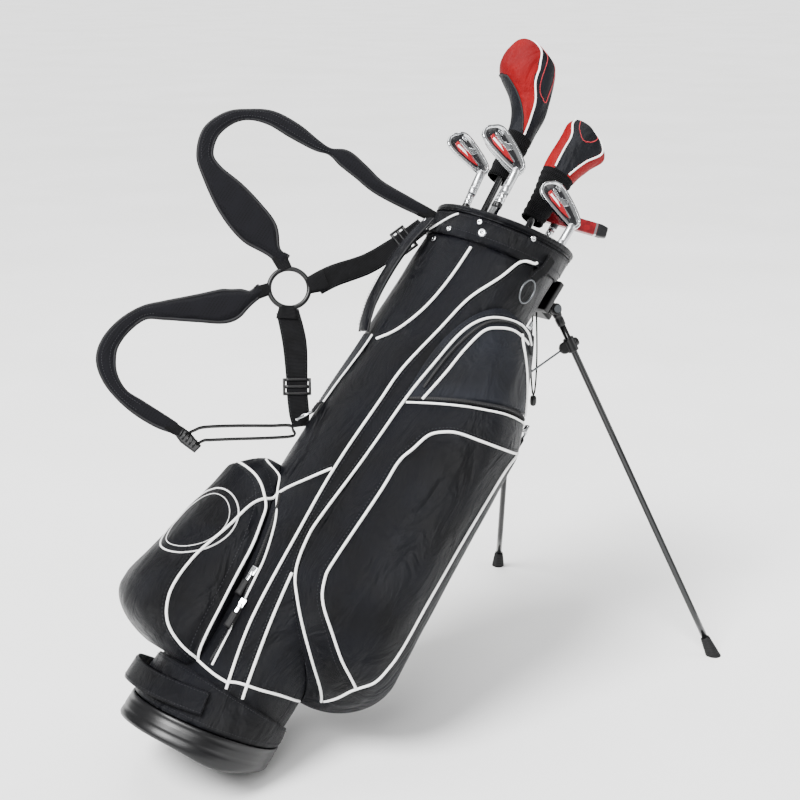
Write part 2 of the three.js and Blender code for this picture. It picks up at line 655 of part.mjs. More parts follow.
const knuckleHalf = 7;
const buttonRadius = 9;
const buttonOffset = 12;
const bracketBlock = join(
  box(10, 96, 52, new THREE.Vector3(collarRadius + 2 + 5, 0, 824)),
  box(42, 56, 26, new THREE.Vector3(collarRadius + 2 + 21, 0, 815)),
);
const inward = hingeAxis.y > 0 ? hingeAxis.clone().negate() : hingeAxis.clone();
const pinIn = hub.clone().addScaledVector(inward, 22);
const pinOut = hub.clone().addScaledVector(inward, -knuckleHalf - gap);
piece('stand_bracket', cut(bracketBlock, bar(pinIn.clone().addScaledVector(inward, gap), pinOut, 3.5 + gap, 16),
  bar(mirrored(pinIn.clone().addScaledVector(inward, gap)), mirrored(pinOut), 3.5 + gap, 16)), 'plastic');

bothSides((side, place) => {
  const pinTail = place(pinIn);
  const pinHead = place(hub.clone().addScaledVector(inward, -knuckleHalf - gap));
  const headEnd = place(hub.clone().addScaledVector(inward, -knuckleHalf - gap - 2.5));
  piece(`hinge_pin_${side}`, join(bar(headEnd, pinTail, 3.5, 16), bar(pinHead, headEnd, 6, 12)), 'wire');

  const knuckle = bar(place(hub.clone().addScaledVector(hingeAxis, -knuckleHalf)),
    place(hub.clone().addScaledVector(hingeAxis, knuckleHalf)), 9, 20);
  const socket = bar(place(hub.clone().addScaledVector(openDirection, 3)),
    place(hub.clone().addScaledVector(openDirection, 26)), 7, 12, 6);
  const footStart = farFoot.clone().addScaledVector(openDirection, -34);
  const tube = bar(place(hub.clone().addScaledVector(openDirection, 20)), place(footStart), legRadius, 12);
  const bore = bar(place(hub.clone().addScaledVector(hingeAxis, -12)),
    place(hub.clone().addScaledVector(hingeAxis, 12)), 3.5 + gap, 16);
  piece(`leg_${side}`, cut(join(knuckle, socket, tube), bore), 'legPaint');

  const footProfile = [[0, 0], [0, 7], [20, 7.5], [30, 10.5], [44, 11.5], [44, 0]];
  const past = place(farFoot.clone().addScaledVector(openDirection, 10));
  const foot = turned(place(footStart.clone().addScaledVector(openDirection, gap)), past, footProfile, 14);
  piece(`foot_${side}`, trim(foot, groundPoint, groundUp), 'rubber');

  const clampPlace = (distance, sideways = 0) => place(hub.clone().addScaledVector(openDirection, distance)
    .addScaledVector(swingNormal, sideways));
  const sleeve = bar(clampPlace(clampDistance - 11), clampPlace(clampDistance + 11), 8.5, 14);
  const button = bar(place(clampPoint(-3)), place(clampPoint(3)), buttonRadius, 14);
  const legHole = bar(clampPlace(clampDistance - 20), clampPlace(clampDistance + 20), legRadius + gap, 12);
  piece(`stay_clamp_${side}`, cut(join(sleeve, button), legHole), 'plastic');
});

// The middle of the clamp's button, where the stay ends.
function clampPoint(alongHinge = 0) {
  return hub.clone().addScaledVector(openDirection, clampDistance).addScaledVector(swingNormal, -buttonOffset)
    .addScaledVector(hingeAxis, alongHinge);
}

// The actuator rod pushes up on two wire stays when the boot is pressed shut, which opens the legs.
// Each stay turns on its clamp's button. Its lower eye stands beside the yoke, free of it.
const rodX = 114;
const yokeHeight = 593;
const yokeHalf = 6.5;
const rodFoot = new THREE.Vector3(rodX, 0, lugHeight + 1.2);
const rodTop = new THREE.Vector3(rodX, 0, yokeHeight + 6);
piece('actuator_rod', join(bar(rodFoot, rodTop, 2.6, 10), bar(new THREE.Vector3(rodX, -yokeHalf, yokeHeight),
  new THREE.Vector3(rodX, yokeHalf, yokeHeight), 3.4, 10)), 'wire');

const stayRadius = 1.6;
const yokeEye = 11.5;                     // each stay's eye from the middle plane, clear of the yoke
bothSides((side, place) => {
  const low = new THREE.Vector3(rodX, yokeEye, yokeHeight);
  const high = clampPoint();
  const reach = high.clone().sub(low);
  const end = low.clone().addScaledVector(reach, 1 - (buttonRadius + gap) / reach.length());
  const eye = new THREE.SphereGeometry(2.4, 8, 6);
  eye.translate(...place(low).toArray());
  piece(`stay_${side}`, join(closed(eye), bar(place(low), place(end), stayRadius, 8)), 'wire');
});

// ---------------------------------------------------------------- drawstring and cord lock
const cordRadius = 1.3;
const cordExit = new THREE.Vector3(collarRadius + 14, -22, 800);
function hanging(start, drop, sideways = 0) {
  return start.clone().addScaledVector(groundUp, -drop).add(new THREE.Vector3(0, sideways, 0));
}
const cordRoute = [
  hanging(cordExit, 3), hanging(cordExit, 20, -1), hanging(cordExit, 60, -3), hanging(cordExit, 100, -3),
  hanging(cordExit, 125, -1), hanging(cordExit, 134, 2), hanging(cordExit, 125, 5), hanging(cordExit, 100, 8),
  hanging(cordExit, 60, 9), hanging(cordExit, 20, 8), hanging(cordExit, 3, 7),
];
piece('drawstring', tubeAlong(new THREE.CatmullRomCurve3(cordRoute), cordRadius, 8, 48), 'webbing');
const lockTop = hanging(cordExit, 135.8, 2);
piece('cord_lock', bar(lockTop, hanging(cordExit, 152, 2), 5.5, 12, 4.5), 'plastic');

// ---------------------------------------------------------------- clubs
// Each club stands on its butt in the tube and leans a little. Places are [right, near] pairs.
const rimLevel = 850;
function clubLine(butt, rim) {
  const low = across(butt[0], butt[1], clubFloor);
  const high = across(rim[0], rim[1], rimLevel);
  const direction = high.clone().sub(low).normalize();
  const pointAt = (height) => low.clone().addScaledVector(direction, (height - clubFloor) / direction.z);
  return { low, direction, pointAt };
}

function clubShaft(line, topHeight, buttRadius, tipRadius, ferrule) {
  const length = line.low.distanceTo(line.pointAt(topHeight));
  const gripLength = 265;
  return turned(line.low, line.pointAt(topHeight), [
    [0, 0], [0, 11], [2, 12.3], [gripLength, 9.2], [gripLength + 0.5, buttRadius],
    [length - 26, tipRadius], [length - 26, ferrule], [length, ferrule], [length, 0]], 10);
}

// An iron head. Its toe points left, and its sole leans back by the loft. Along the toe direction,
// each station gives the head's height and depth.
function ironHead(heel, direction, { toeTurn, loft: loftTurn, size }) {
  const level = direction.clone().cross(harnessFace).normalize();
  const left = level.dot(harnessSide) > 0 ? level : level.negate();
  const toe = left.clone().multiplyScalar(Math.cos(toeTurn)).addScaledVector(direction, Math.sin(toeTurn));
  const upright = toe.clone().cross(harnessFace).normalize();
  const flatSole = upright.dot(direction) > 0 ? upright : upright.negate();
  const sole = flatSole.clone().applyAxisAngle(toe, loftTurn);
  if (sole.dot(harnessFace) > 0) sole.copy(flatSole.applyAxisAngle(toe, -loftTurn));
  const back = toe.clone().cross(sole).normalize();
  if (back.dot(harnessFace) < 0) back.negate();
  const stations = [[-5, 12, 8], [4, 24, 11], [18, 31, 13], [38, 38, 13], [56, 43, 12], [68, 42, 11], [75, 33, 9],
    [79, 16, 6]];
  const rings = stations.map(([along, height, depth]) => {
    const [h, d] = [height * size, depth * size];
    const base = heel.clone().addScaledVector(toe, along * size).addScaledVector(sole, 10 * size - h * 0.42);
    return [[0, -2], [0, 2], [h * 0.5, d * 0.45], [h * 0.86, d * 0.75], [h, d * 0.3], [h, -d * 0.25], [h * 0.6, -3.5]]
      .map(([rise, lift]) => base.clone().addScaledVector(sole, rise).addScaledVector(back, lift));
  });
  const hoselLow = heel.clone().addScaledVector(direction, -34 * size);
  const hoselHigh = heel.clone().addScaledVector(direction, 8 * size);
  return join(loft(rings), bar(hoselLow, hoselHigh, 6.4, 12));
}

const irons = [
  { name: 'long_iron', butt: [30, 10], rim: [-70, 12], heelHeight: 906, toeTurn: 24, loft: 20, size: 0.93 },
  { name: 'middle_iron', butt: [30, 68], rim: [-30, 68], heelHeight: 916, toeTurn: 26, loft: 24, size: 1.0 },
  { name: 'short_iron', butt: [-30, 42], rim: [-34, 37], heelHeight: 924, toeTurn: 24, loft: 14, size: 0.92 },
  { name: 'wedge', butt: [72, 35], rim: [77, 33], heelHeight: 902, toeTurn: 24, loft: 24, size: 0.98 },
];
for (const { name, butt, rim, heelHeight, toeTurn, loft: loftTurn, size } of irons) {
  const line = clubLine(butt, rim);
  const heel = line.pointAt(heelHeight);
  const hoselEnd = heelHeight - 34 * size * line.direction.z - gap;
  piece(`${name}_shaft`, clubShaft(line, hoselEnd, 7.2, 4.8, 5.9), 'chrome');
  const head = ironHead(heel, line.direction, { toeTurn: radians(toeTurn), loft: radians(loftTurn), size });
  piece(`${name}_head`, head, 'chrome');
}

// The putter is a plain blade that points to the right.
const putterLine = clubLine([58, -44], [58, -53]);
const putterTop = 936;
piece('putter_shaft', clubShaft(putterLine, putterTop - 18, 7.2, 4.8, 5.9), 'chrome');
function putterHead() {
  const top = putterLine.pointAt(putterTop);
  const right = across(1, 0, 0).addScaledVector(putterLine.direction, 0.3).normalize();
  const face = putterLine.direction.clone().cross(right).normalize();
  const up = right.clone().cross(face).multiplyScalar(-1);
  const rise = up.dot(putterLine.direction) > 0 ? up : up.negate();
  const rings = [[-20, 0.75], [-14, 1], [68, 1], [78, 0.8]].map(([along, scale]) => (
    [[-9, -6], [-9, 3], [-3, 9], [6, 10], [10, 8], [10, -8], [5, -10]].map(([h, d]) => (
      top.clone().addScaledVector(right, along).addScaledVector(rise, h * scale + 2)
        .addScaledVector(face, d * scale)))));
  const neck = bar(putterLine.pointAt(putterTop - 18 + gap), putterLine.pointAt(putterTop - 2), 6, 12);
  return join(loft(rings), neck);
}
piece('putter_head', putterHead(), 'paintedHead');

// Woods: a head on its shaft, inside a knitted and padded cover that is open round the shaft.
// Each station is [height, right, near, half width, half depth].
function stationRing([height, right, near, halfWidth, halfDepth], shrink) {
  const ring = [];
  for (let i = 0; i < 14; i += 1) {
    const turn = (i / 14) * 2 * Math.PI;
    ring.push(across(right + (halfWidth - shrink) * Math.cos(turn), near + (halfDepth - shrink) * Math.sin(turn), height));
  }
  return ring;
}

function wood({ name, butt, rim, stations, headFrom, shaftTop }) {
  const line = clubLine(butt, rim);
  const wall = 2.2;
  const outer = loft(stations.map((station) => stationRing(station, 0)));
  const hollow = stations.map(([height, ...rest], i) => {
    const last = i === stations.length - 1;
    const first = i === 0;
    return stationRing([first ? height - 3 : last ? height - 4 : height, ...rest], wall);
  });
  piece(`${name}_cover`, cut(outer, loft(hollow)), 'cover');
  const clearance = wall + 1.2;
  const headStations = stations.slice(headFrom).map(([height, ...rest], i, all) => (
    [i === all.length - 1 ? height - 7 : height, ...rest]));
  const head = loft(headStations.map((station) => stationRing(station, clearance)));
  const neck = bar(line.pointAt(shaftTop + gap), line.pointAt(headStations[1][0]), 6.4, 12);
  piece(`${name}_head`, join(head, neck), 'graphite');
  piece(`${name}_shaft`, clubShaft(line, shaftTop, 7.4, 5, 6), 'graphite');
}

wood({
  name: 'driver',
  butt: [28, -48],
  rim: [-42, -44],
  stations: [[938, -52, -45, 18, 17], [994, -56, -45, 20, 19], [1036, -62, -46, 23, 24], [1066, -73, -46, 33, 31],
    [1091, -93, -46, 45, 37], [1116, -101, -46, 46, 38], [1140, -105, -46, 39, 32], [1153, -114, -46, 24, 20],
    [1158, -118, -46, 12, 10]],
  headFrom: 2,
  shaftTop: 1010,
});
wood({
  name: 'hybrid',
  butt: [66, -4],
  rim: [26, -16],
  stations: [[900, 24, -17, 18, 16], [942, 24, -17, 21, 20], [982, 22, -17, 26, 23], [1017, 26, -17, 32, 25],
    [1043, 32, -17, 37, 26], [1062, 24, -17, 31, 22], [1074, 16, -17, 17, 14]],
  headFrom: 2,
  shaftTop: 962,
});

// ---------------------------------------------------------------- onto the ground, centred
leaning.position.set(0, 0, baseCentreHeight);
clubSet.updateMatrixWorld(true);
const bounds = new THREE.Box3().setFromObject(clubSet, true);
const middle = bounds.getCenter(new THREE.Vector3());
clubSet.position.set(-middle.x, -middle.y, -bounds.min.z);
clubSet.updateMatrixWorld(true);

// Joint places and directions, for the record.
const toModel = (point) => leaning.localToWorld(point.clone()).toArray();
const turnToModel = (direction) => direction.clone().transformDirection(leaning.matrixWorld).toArray();
clubSet.userData.joints = {
  hub_far: toModel(hub), hub_near: toModel(mirrored(hub)),
  hinge_far: turnToModel(hingeAxis), hinge_near: turnToModel(mirrored(hingeAxis)), foldAngle,
  down: turnToModel(down), up: turnToModel(new THREE.Vector3(0, 0, 1)), side: turnToModel(new THREE.Vector3(1, 0, 0)),
  eye_far: toModel(new THREE.Vector3(rodX, yokeEye, yokeHeight)),
  clamp_far: toModel(clampPoint()),
  clamp_near: toModel(mirrored(clampPoint())),
  boot: toModel(new THREE.Vector3(-bootRadius - 1, 0, 20)),
  heel: clubSet.localToWorld(new THREE.Vector3(89.5, 0, 0)).toArray(),
  towel: toModel(at(towelBearing, 103.4, 788)), towelAxis: turnToModel(towelSide),
  dring: toModel(dRingTop), dringAxis: turnToModel(dRingSide),
  glideCollar: turnToModel(collarWebbingAlong), glideHip: turnToModel(hipWebbingAlong),
  valuables: turnToModel(at(valuablesBearing + 90, 1, 0)),
  offset: clubSet.position.toArray(),
};

export default clubSet;
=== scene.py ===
# %% [markdown]
# # A golf stand bag and its seven clubs
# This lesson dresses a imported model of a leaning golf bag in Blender. Every place comes from the
# bag's own frame: z runs up the bag, x points to its legs and y to its far side, in millimetres.
# The frame's hard parts stay where they are, and soft parts are drawn again as real cloth goods.

# %% Load the frame
import math

import bmesh
import bpy
from mathutils import Matrix, Vector, noise


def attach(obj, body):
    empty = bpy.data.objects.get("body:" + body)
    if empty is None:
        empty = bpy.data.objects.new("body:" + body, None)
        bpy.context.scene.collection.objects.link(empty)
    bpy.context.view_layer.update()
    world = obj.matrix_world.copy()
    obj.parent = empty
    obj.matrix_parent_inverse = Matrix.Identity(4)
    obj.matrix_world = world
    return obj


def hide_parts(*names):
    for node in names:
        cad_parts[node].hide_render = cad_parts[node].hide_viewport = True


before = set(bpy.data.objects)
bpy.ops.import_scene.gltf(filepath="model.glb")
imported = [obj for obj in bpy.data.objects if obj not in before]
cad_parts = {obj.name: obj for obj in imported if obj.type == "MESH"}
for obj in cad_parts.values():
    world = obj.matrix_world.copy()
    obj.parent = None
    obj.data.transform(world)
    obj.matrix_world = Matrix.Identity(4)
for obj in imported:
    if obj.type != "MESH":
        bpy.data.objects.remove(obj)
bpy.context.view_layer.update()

# %% [markdown]
# ## The bag's own frame
# The bag leans 43 degrees. Drawing it upright and leaning every point at the end is easier than
# drawing it tilted, so one function turns a place in the bag into a place in the model.

# %% Places on the bag
LEAN = math.radians(43)
BASE = Vector((-0.37447, -0.02552, 0.05))       # centre of the bag's base, in the model
TUBE = 98                                       # outer radius of the tube
COLLAR = 103
BAG_LENGTH = 860
RIM_TILT = math.radians(15)
SIDE_BEARING = 138.2                            # the harness stands out this way
FACE_BEARING = SIDE_BEARING + 90                # and its flat side looks this way


def to_model(place):
    along, up = math.sin(LEAN), math.cos(LEAN)
    return BASE + Vector((place.x * up + place.z * along, place.y, place.z * up - place.x * along)) / 1000


def at(bearing, radius, height):
    turn = math.radians(bearing)
    return Vector((radius * math.cos(turn), radius * math.sin(turn), height))


def across(right, near, height):
    side = at(SIDE_BEARING, -right, 0)
    face = at(FACE_BEARING, near, 0)
    return side + face + Vector((0, 0, height))


def out(radius, height, near=0.0):
    return at(SIDE_BEARING, radius, height) + at(FACE_BEARING, near, 0)


def rim_height(bearing, radius=COLLAR):
    return BAG_LENGTH + radius * math.cos(math.radians(bearing)) * math.tan(RIM_TILT)


def clamp(value, low=0.0, high=1.0):
    return max(low, min(high, value))


def mix(a, b, share):
    return a + (b - a) * share


def smooth(stops, count):
    """Evenly shared points on a smooth curve through the stops, which are tuples of numbers."""
    result = []
    last = len(stops) - 1
    for i in range(count):
        place = i / (count - 1) * last
        k = min(int(place), last - 1)
        t = place - k
        p0, p1, p2, p3 = (stops[clamp_index(k + j, last)] for j in (-1, 0, 1, 2))
        result.append(tuple(
            0.5 * (2 * b + (c - a) * t
                   + (2 * a - 5 * b + 4 * c - d) * t ** 2
                   + (3 * b - a - 3 * c + d) * t ** 3)
            for a, b, c, d in zip(p0, p1, p2, p3)))
    return result


def clamp_index(index, last):
    return max(0, min(last, index))


WORLD_DOWN = Vector((math.sin(LEAN), 0, -math.cos(LEAN)))      # straight down, as the bag sees it
print("the rim's middle is at", [round(v, 3) for v in to_model(Vector((0, 0, BAG_LENGTH)))])

# %% [markdown]
# ## The camera
# A camera a little above the bag's middle and about two metres away gives the mild perspective of a
# catalogue view. The lens could be moved closer for drama, but that would fatten the near leg.

# %% Camera
VIEW_BEARING = math.radians(41.2)
VIEW_RISE = math.radians(16.8)
VIEW_DISTANCE = 2.2

camera_data = bpy.data.cameras.new("camera")
camera_data.lens = 68.94
camera_data.sensor_width = 36
camera = bpy.data.objects.new("camera", camera_data)
bpy.context.scene.collection.objects.link(camera)
target = BASE + Vector((0.376, 0, 0.409))
towards_camera = Vector((
    -math.sin(VIEW_BEARING) * math.cos(VIEW_RISE),
    -math.cos(VIEW_BEARING) * math.cos(VIEW_RISE),
    math.sin(VIEW_RISE)))
camera.location = target + towards_camera * VIEW_DISTANCE
camera.rotation_euler = (-towards_camera).to_track_quat("-Z", "Y").to_euler()
bpy.context.scene.camera = camera
print("camera at", [round(v, 3) for v in camera.location])

# %% [markdown]
# ## Helpers for finishes
# A finish is a node material. One function turns a hex colour into Blender's linear numbers, one
# adds a node with its settings and links, and one starts a material with its shader.

# %% Node helpers
def colour(hex_value):
    parts = [int(hex_value[i:i + 2], 16) / 255 for i in (1, 3, 5)]
    linear = [p / 12.92 if p <= 0.04045 else ((p + 0.055) / 1.055) ** 2.4 for p in parts]
    return (*linear, 1.0)


def add_node(tree, kind, settings=None, inputs=None):
    node = tree.nodes.new(kind)
    for name, value in (settings or {}).items():
        setattr(node, name, value)
    for name, value in (inputs or {}).items():
        if isinstance(value, bpy.types.NodeSocket):
            tree.links.new(value, node.inputs[name])
        else:
            node.inputs[name].default_value = value
    return node


def start_material(name, roughness, **shader_values):
    material = bpy.data.materials.new(name)
    material.use_nodes = True
    tree = material.node_tree
    shader = tree.nodes["Principled BSDF"]
    shader.inputs["Roughness"].default_value = roughness
    for key, value in shader_values.items():
        shader.inputs[key.replace("_", " ")].default_value = value
    return material, tree, shader


def blotches(tree, shader, coordinates, dark, light, scale, low=0.35, high=0.65):
    """Colour that drifts softly between two shades over the piece."""
    cloud = add_node(tree, "ShaderNodeTexNoise", inputs={
        "Vector": coordinates, "Scale": scale, "Detail": 3.0})
    ramp = add_node(tree, "ShaderNodeValToRGB", inputs={"Fac": cloud.outputs["Fac"]})
    ramp.color_ramp.elements[0].position = low
    ramp.color_ramp.elements[0].color = colour(dark)
    ramp.color_ramp.elements[1].position = high
    ramp.color_ramp.elements[1].color = colour(light)
    tree.links.new(ramp.outputs["Color"], shader.inputs["Base Color"])
    return cloud


def bag_coordinates(tree):
    """Object coordinates turned so that they lie along the leaning bag, in metres."""
    place = add_node(tree, "ShaderNodeTexCoord")
    turned = add_node(tree, "ShaderNodeMapping", {"vector_type": "TEXTURE"}, {
        "Vector": place.outputs["Object"], "Rotation": (0.0, LEAN, 0.0)})
    return turned.outputs["Vector"]

# %% [markdown]
# ## Cloth finishes
# The bag is sewn from coated polyamide cloth: a plain weave with a faint sheen. The real threads
# are about 0.5 mm apart, too fine to show from two metres, so the weave is drawn at 1.6 mm. Its
# pattern follows each piece's own UV map, in millimetres, so that it never slides over a curve.

# %% Woven cloth
CRUMPLE_MM = 11.0                   # how deep the soft crumples of the cloth look


def woven(name, dark, light, roughness, thread_mm, depth_mm, sheen=0.05, has_uv=True):
    """A plain weave. A piece without a UV map of its own has the weave drawn along the bag."""
    material, tree, shader = start_material(
        name, roughness, Sheen_Weight=sheen, Sheen_Roughness=0.45, Specular_IOR_Level=0.13)
    shader.inputs["Sheen Tint"].default_value = colour(light)
    flat_place = add_node(tree, "ShaderNodeTexCoord").outputs["UV"] if has_uv else bag_coordinates(tree)
    blotches(tree, shader, bag_coordinates(tree), dark, light, 14.0)
    split = add_node(tree, "ShaderNodeSeparateXYZ", inputs={"Vector": flat_place})
    waves = []
    for axis in ("X", "Y"):
        turn = add_node(tree, "ShaderNodeMath", {"operation": "MULTIPLY"}, {
            0: split.outputs[axis], 1: 2 * math.pi * 1000 / thread_mm})
        waves.append(add_node(tree, "ShaderNodeMath", {"operation": "SINE"}, {0: turn.outputs[0]}).outputs[0])
    weave = add_node(tree, "ShaderNodeMath", {"operation": "MULTIPLY"}, {0: waves[0], 1: waves[1]})
    drawn_out = add_node(tree, "ShaderNodeMapping", inputs={
        "Vector": bag_coordinates(tree), "Scale": (1.0, 1.0, 0.45)})
    crumple = add_node(tree, "ShaderNodeTexNoise", inputs={
        "Vector": drawn_out.outputs["Vector"], "Scale": 26.0, "Detail": 3.0, "Roughness": 0.5,
        "Distortion": 0.9})
    crumple_scaled = add_node(tree, "ShaderNodeMath", {"operation": "MULTIPLY"}, {
        0: crumple.outputs["Fac"], 1: CRUMPLE_MM / depth_mm})
    both = add_node(tree, "ShaderNodeMath", {"operation": "ADD"}, {
        0: weave.outputs[0], 1: crumple_scaled.outputs[0]})
    relief = add_node(tree, "ShaderNodeBump", inputs={"Height": both.outputs[0], "Distance": depth_mm / 1000})
    tree.links.new(relief.outputs["Normal"], shader.inputs["Normal"])
    return material


# near black, satin folds
black_cloth = woven("coated_polyamide_black", "#010103", "#05060c", 0.36, 1.6, 0.2, 0.01)
# a lighter charcoal
grey_cloth = woven("coated_polyamide_grey", "#0e0f13", "#181a20", 0.42, 1.6, 0.2, 0.02)
lining_cloth = woven("brushed_lining_navy", "#060a18", "#0d1226", 0.8, 2.0, 0.2, 0.12)      # matt navy nap
# bright, slightly shiny
cover_red = woven("coated_cloth_red", "#6a0006", "#820208", 0.55, 1.4, 0.1, 0.0)
# charcoal, with a slight sheen
cover_grey = woven("coated_cloth_charcoal", "#07080c", "#101218", 0.5, 1.4, 0.12, 0.02)
print("woven finishes:", [m.name for m in (black_cloth, grey_cloth, lining_cloth, cover_red, cover_grey)])

# %% [markdown]
# ## Webbing, knit and air mesh
# Webbing is woven thick, with ribs across it 2 mm apart. A knitted sock has ribs along it. The
# shoulder pads are faced with spacer mesh, a knit with open holes every 3 mm.

# %% Ribbed and pierced cloth
def ribbed(name, dark, light, roughness, rib_mm, depth_mm, axis="Y"):
    material, tree, shader = start_material(name, roughness, Sheen_Weight=0.02, Specular_IOR_Level=0.12)
    blotches(tree, shader, bag_coordinates(tree), dark, light, 60.0)
    flat_place = add_node(tree, "ShaderNodeTexCoord").outputs["UV"]
    split = add_node(tree, "ShaderNodeSeparateXYZ", inputs={"Vector": flat_place})
    turn = add_node(tree, "ShaderNodeMath", {"operation": "MULTIPLY"}, {
        0: split.outputs[axis], 1: 2 * math.pi * 1000 / rib_mm})
    wave = add_node(tree, "ShaderNodeMath", {"operation": "SINE"}, {0: turn.outputs[0]})
    relief = add_node(tree, "ShaderNodeBump", inputs={"Height": wave.outputs[0], "Distance": depth_mm / 1000})
    tree.links.new(relief.outputs["Normal"], shader.inputs["Normal"])
    return material


HOLE_DEPTH_MM = 0.8


def air_mesh(name, dark, light, hole_mm):
    material, tree, shader = start_material(name, 0.85, Sheen_Weight=0.03, Specular_IOR_Level=0.12)
    scaled = add_node(tree, "ShaderNodeVectorMath", {"operation": "SCALE"}, {
        0: bag_coordinates(tree), "Scale": 1000 / hole_mm})
    holes = add_node(tree, "ShaderNodeTexVoronoi", {"feature": "F1"}, {
        "Vector": scaled.outputs[0], "Scale": 1.0, "Randomness": 0.15})
    # The holes are painted darker than the knit round them: painted shade in the holes.
    ramp = add_node(tree, "ShaderNodeValToRGB", inputs={"Fac": holes.outputs["Distance"]})
    ramp.color_ramp.elements[0].position = 0.22
    ramp.color_ramp.elements[0].color = colour(dark)
    ramp.color_ramp.elements[1].position = 0.4
    ramp.color_ramp.elements[1].color = colour(light)
    tree.links.new(ramp.outputs["Color"], shader.inputs["Base Color"])
    relief = add_node(tree, "ShaderNodeBump", inputs={
        "Height": ramp.outputs["Color"], "Distance": HOLE_DEPTH_MM / 1000})
    tree.links.new(relief.outputs["Normal"], shader.inputs["Normal"])
    return material


# flat black, ribbed across
webbing = ribbed("polyester_webbing_black", "#030304", "#0a0a0c", 0.75, 2.0, 0.25)
# soft and dull, ribbed along
knit = ribbed("knitted_sock_black", "#020203", "#070709", 0.9, 3.2, 0.5, "X")

# %% [markdown]
# ## Smooth finishes
# White piping is vinyl over a cord. Hard parts are moulded plastic with a fine grain, rubber,
# chromed zinc and steel, painted tube and lacquered graphite. Metals keep the default IOR.

# %% Plastics, rubber and vinyl
def grained(name, dark, light, roughness, grain_mm, depth_mm, **shader_values):
    material, tree, shader = start_material(name, roughness, **shader_values)
    place = add_node(tree, "ShaderNodeTexCoord").outputs["Object"]
    blotches(tree, shader, place, dark, light, 30.0)
    grain = add_node(tree, "ShaderNodeTexNoise", inputs={
        "Vector": place, "Scale": 1000 / grain_mm, "Detail": 2.0})
    relief = add_node(tree, "ShaderNodeBump", inputs={
        "Height": grain.outputs["Fac"], "Distance": depth_mm / 1000})
    tree.links.new(relief.outputs["Normal"], shader.inputs["Normal"])
    return material


# clean, a little glossy
white_vinyl = grained("vinyl_piping_white", "#f0f0ee", "#fbfbfa", 0.38, 1.5, 0.05)
# satin, fine grain
moulded_plastic = grained("moulded_abs_black", "#040405", "#0a0a0c", 0.34, 1.2, 0.08, Specular_IOR_Level=0.35)
# dull
soft_rubber = grained("moulded_rubber_black", "#040405", "#0a0a0c", 0.65, 1.0, 0.12, Specular_IOR_Level=0.3)
# dark grey, dull and pitted
grip_rubber = grained("grip_rubber_black", "#0d0d0f", "#19191c", 0.8, 1.6, 0.5)
# matt sewing thread in three colours
thread_white = grained("polyester_thread_white", "#cfcfcf", "#efefef", 0.7, 0.8, 0.1)
thread_pink = grained("polyester_thread_coral", "#a01824", "#c8303c", 0.7, 0.8, 0.1)
thread_grey = grained("polyester_thread_grey", "#0c0d11", "#1a1b21", 0.7, 0.8, 0.1)
# flat woven black
zip_tape = grained("zip_tape_black", "#020203", "#060608", 0.8, 0.9, 0.15)
# dark nylon, half glossy
zip_coil = grained("zip_coil_black", "#060608", "#101014", 0.4, 0.8, 0.05)
# straw coloured, fairly glossy
glass_fibre = grained("glass_fibre_rod", "#a9a37c", "#c6c19d", 0.4, 2.0, 0.05)
# enamel in three colours, smooth and clean
white_paint = grained("cavity_paint_white", "#d8d8d8", "#f2f2f2", 0.3, 2.0, 0.02)
black_paint = grained("cavity_paint_black", "#0b0b0d", "#17171a", 0.3, 2.0, 0.02)
red_paint = grained("cavity_paint_red", "#7c0410", "#9c0a18", 0.28, 2.0, 0.02)
print("plastics and threads made")

# %% Metals and lacquers
def metal(name, hex_value, roughness, smudge=0.08, **shader_values):
    material, tree, shader = start_material(name, roughness, Metallic=1.0, **shader_values)
    place = add_node(tree, "ShaderNodeTexCoord").outputs["Object"]
    cloud = add_node(tree, "ShaderNodeTexNoise", inputs={"Vector": place, "Scale": 55.0, "Detail": 4.0})
    wipe = add_node(tree, "ShaderNodeMapRange", inputs={
        "Value": cloud.outputs["Fac"], "To Min": max(0.02, roughness - smudge), "To Max": roughness + smudge})
    tree.links.new(wipe.outputs["Result"], shader.inputs["Roughness"])
    shade = add_node(tree, "ShaderNodeMix", {"data_type": "RGBA"}, {0: cloud.outputs["Fac"]})
    shade.inputs[6].default_value = colour(hex_value)
    shade.inputs[7].default_value = tuple(0.82 * v for v in colour(hex_value)[:3]) + (1.0,)
    tree.links.new(shade.outputs[2], shader.inputs["Base Color"])
    return material


def lacquer(name, dark, light, fleck_mm, metallic, roughness):
    material, tree, shader = start_material(
        name, roughness, Metallic=metallic, Coat_Weight=0.7, Coat_Roughness=0.06)
    place = add_node(tree, "ShaderNodeTexCoord").outputs["Object"]
    blotches(tree, shader, place, dark, light, 1000 / fleck_mm, 0.42, 0.6)
    return material


chrome = metal("chromed_steel", "#d6d8da", 0.1, 0.05)                      # mirror bright, faint smudges
satin_chrome = metal("satin_chromed_steel", "#c6c8ca", 0.28, 0.08)         # bead-blasted, soft
# grey, half bright
dark_wire = metal("zinc_plated_wire", "#6a6d70", 0.34, 0.08)
leg_tube = lacquer("painted_aluminium_tube", "#08090a", "#141517", 1.5, 0.6, 0.32)   # dark metallic flake
# deep black under a clear coat
graphite = lacquer("lacquered_graphite", "#050507", "#0d0e12", 6.0, 0.3, 0.25)
# red under a clear coat
putter_red = lacquer("candy_red_lacquer", "#6e0410", "#8c0616", 8.0, 0.35, 0.22)
print("metals and lacquers made")
# %% [markdown]
# ## Helpers for meshes
# Most of a bag is sheets lofted through rings. One helper joins rings into a closed mesh with a UV
# map in metres round and along it. A piece is then named, given its finish and hung on its body.

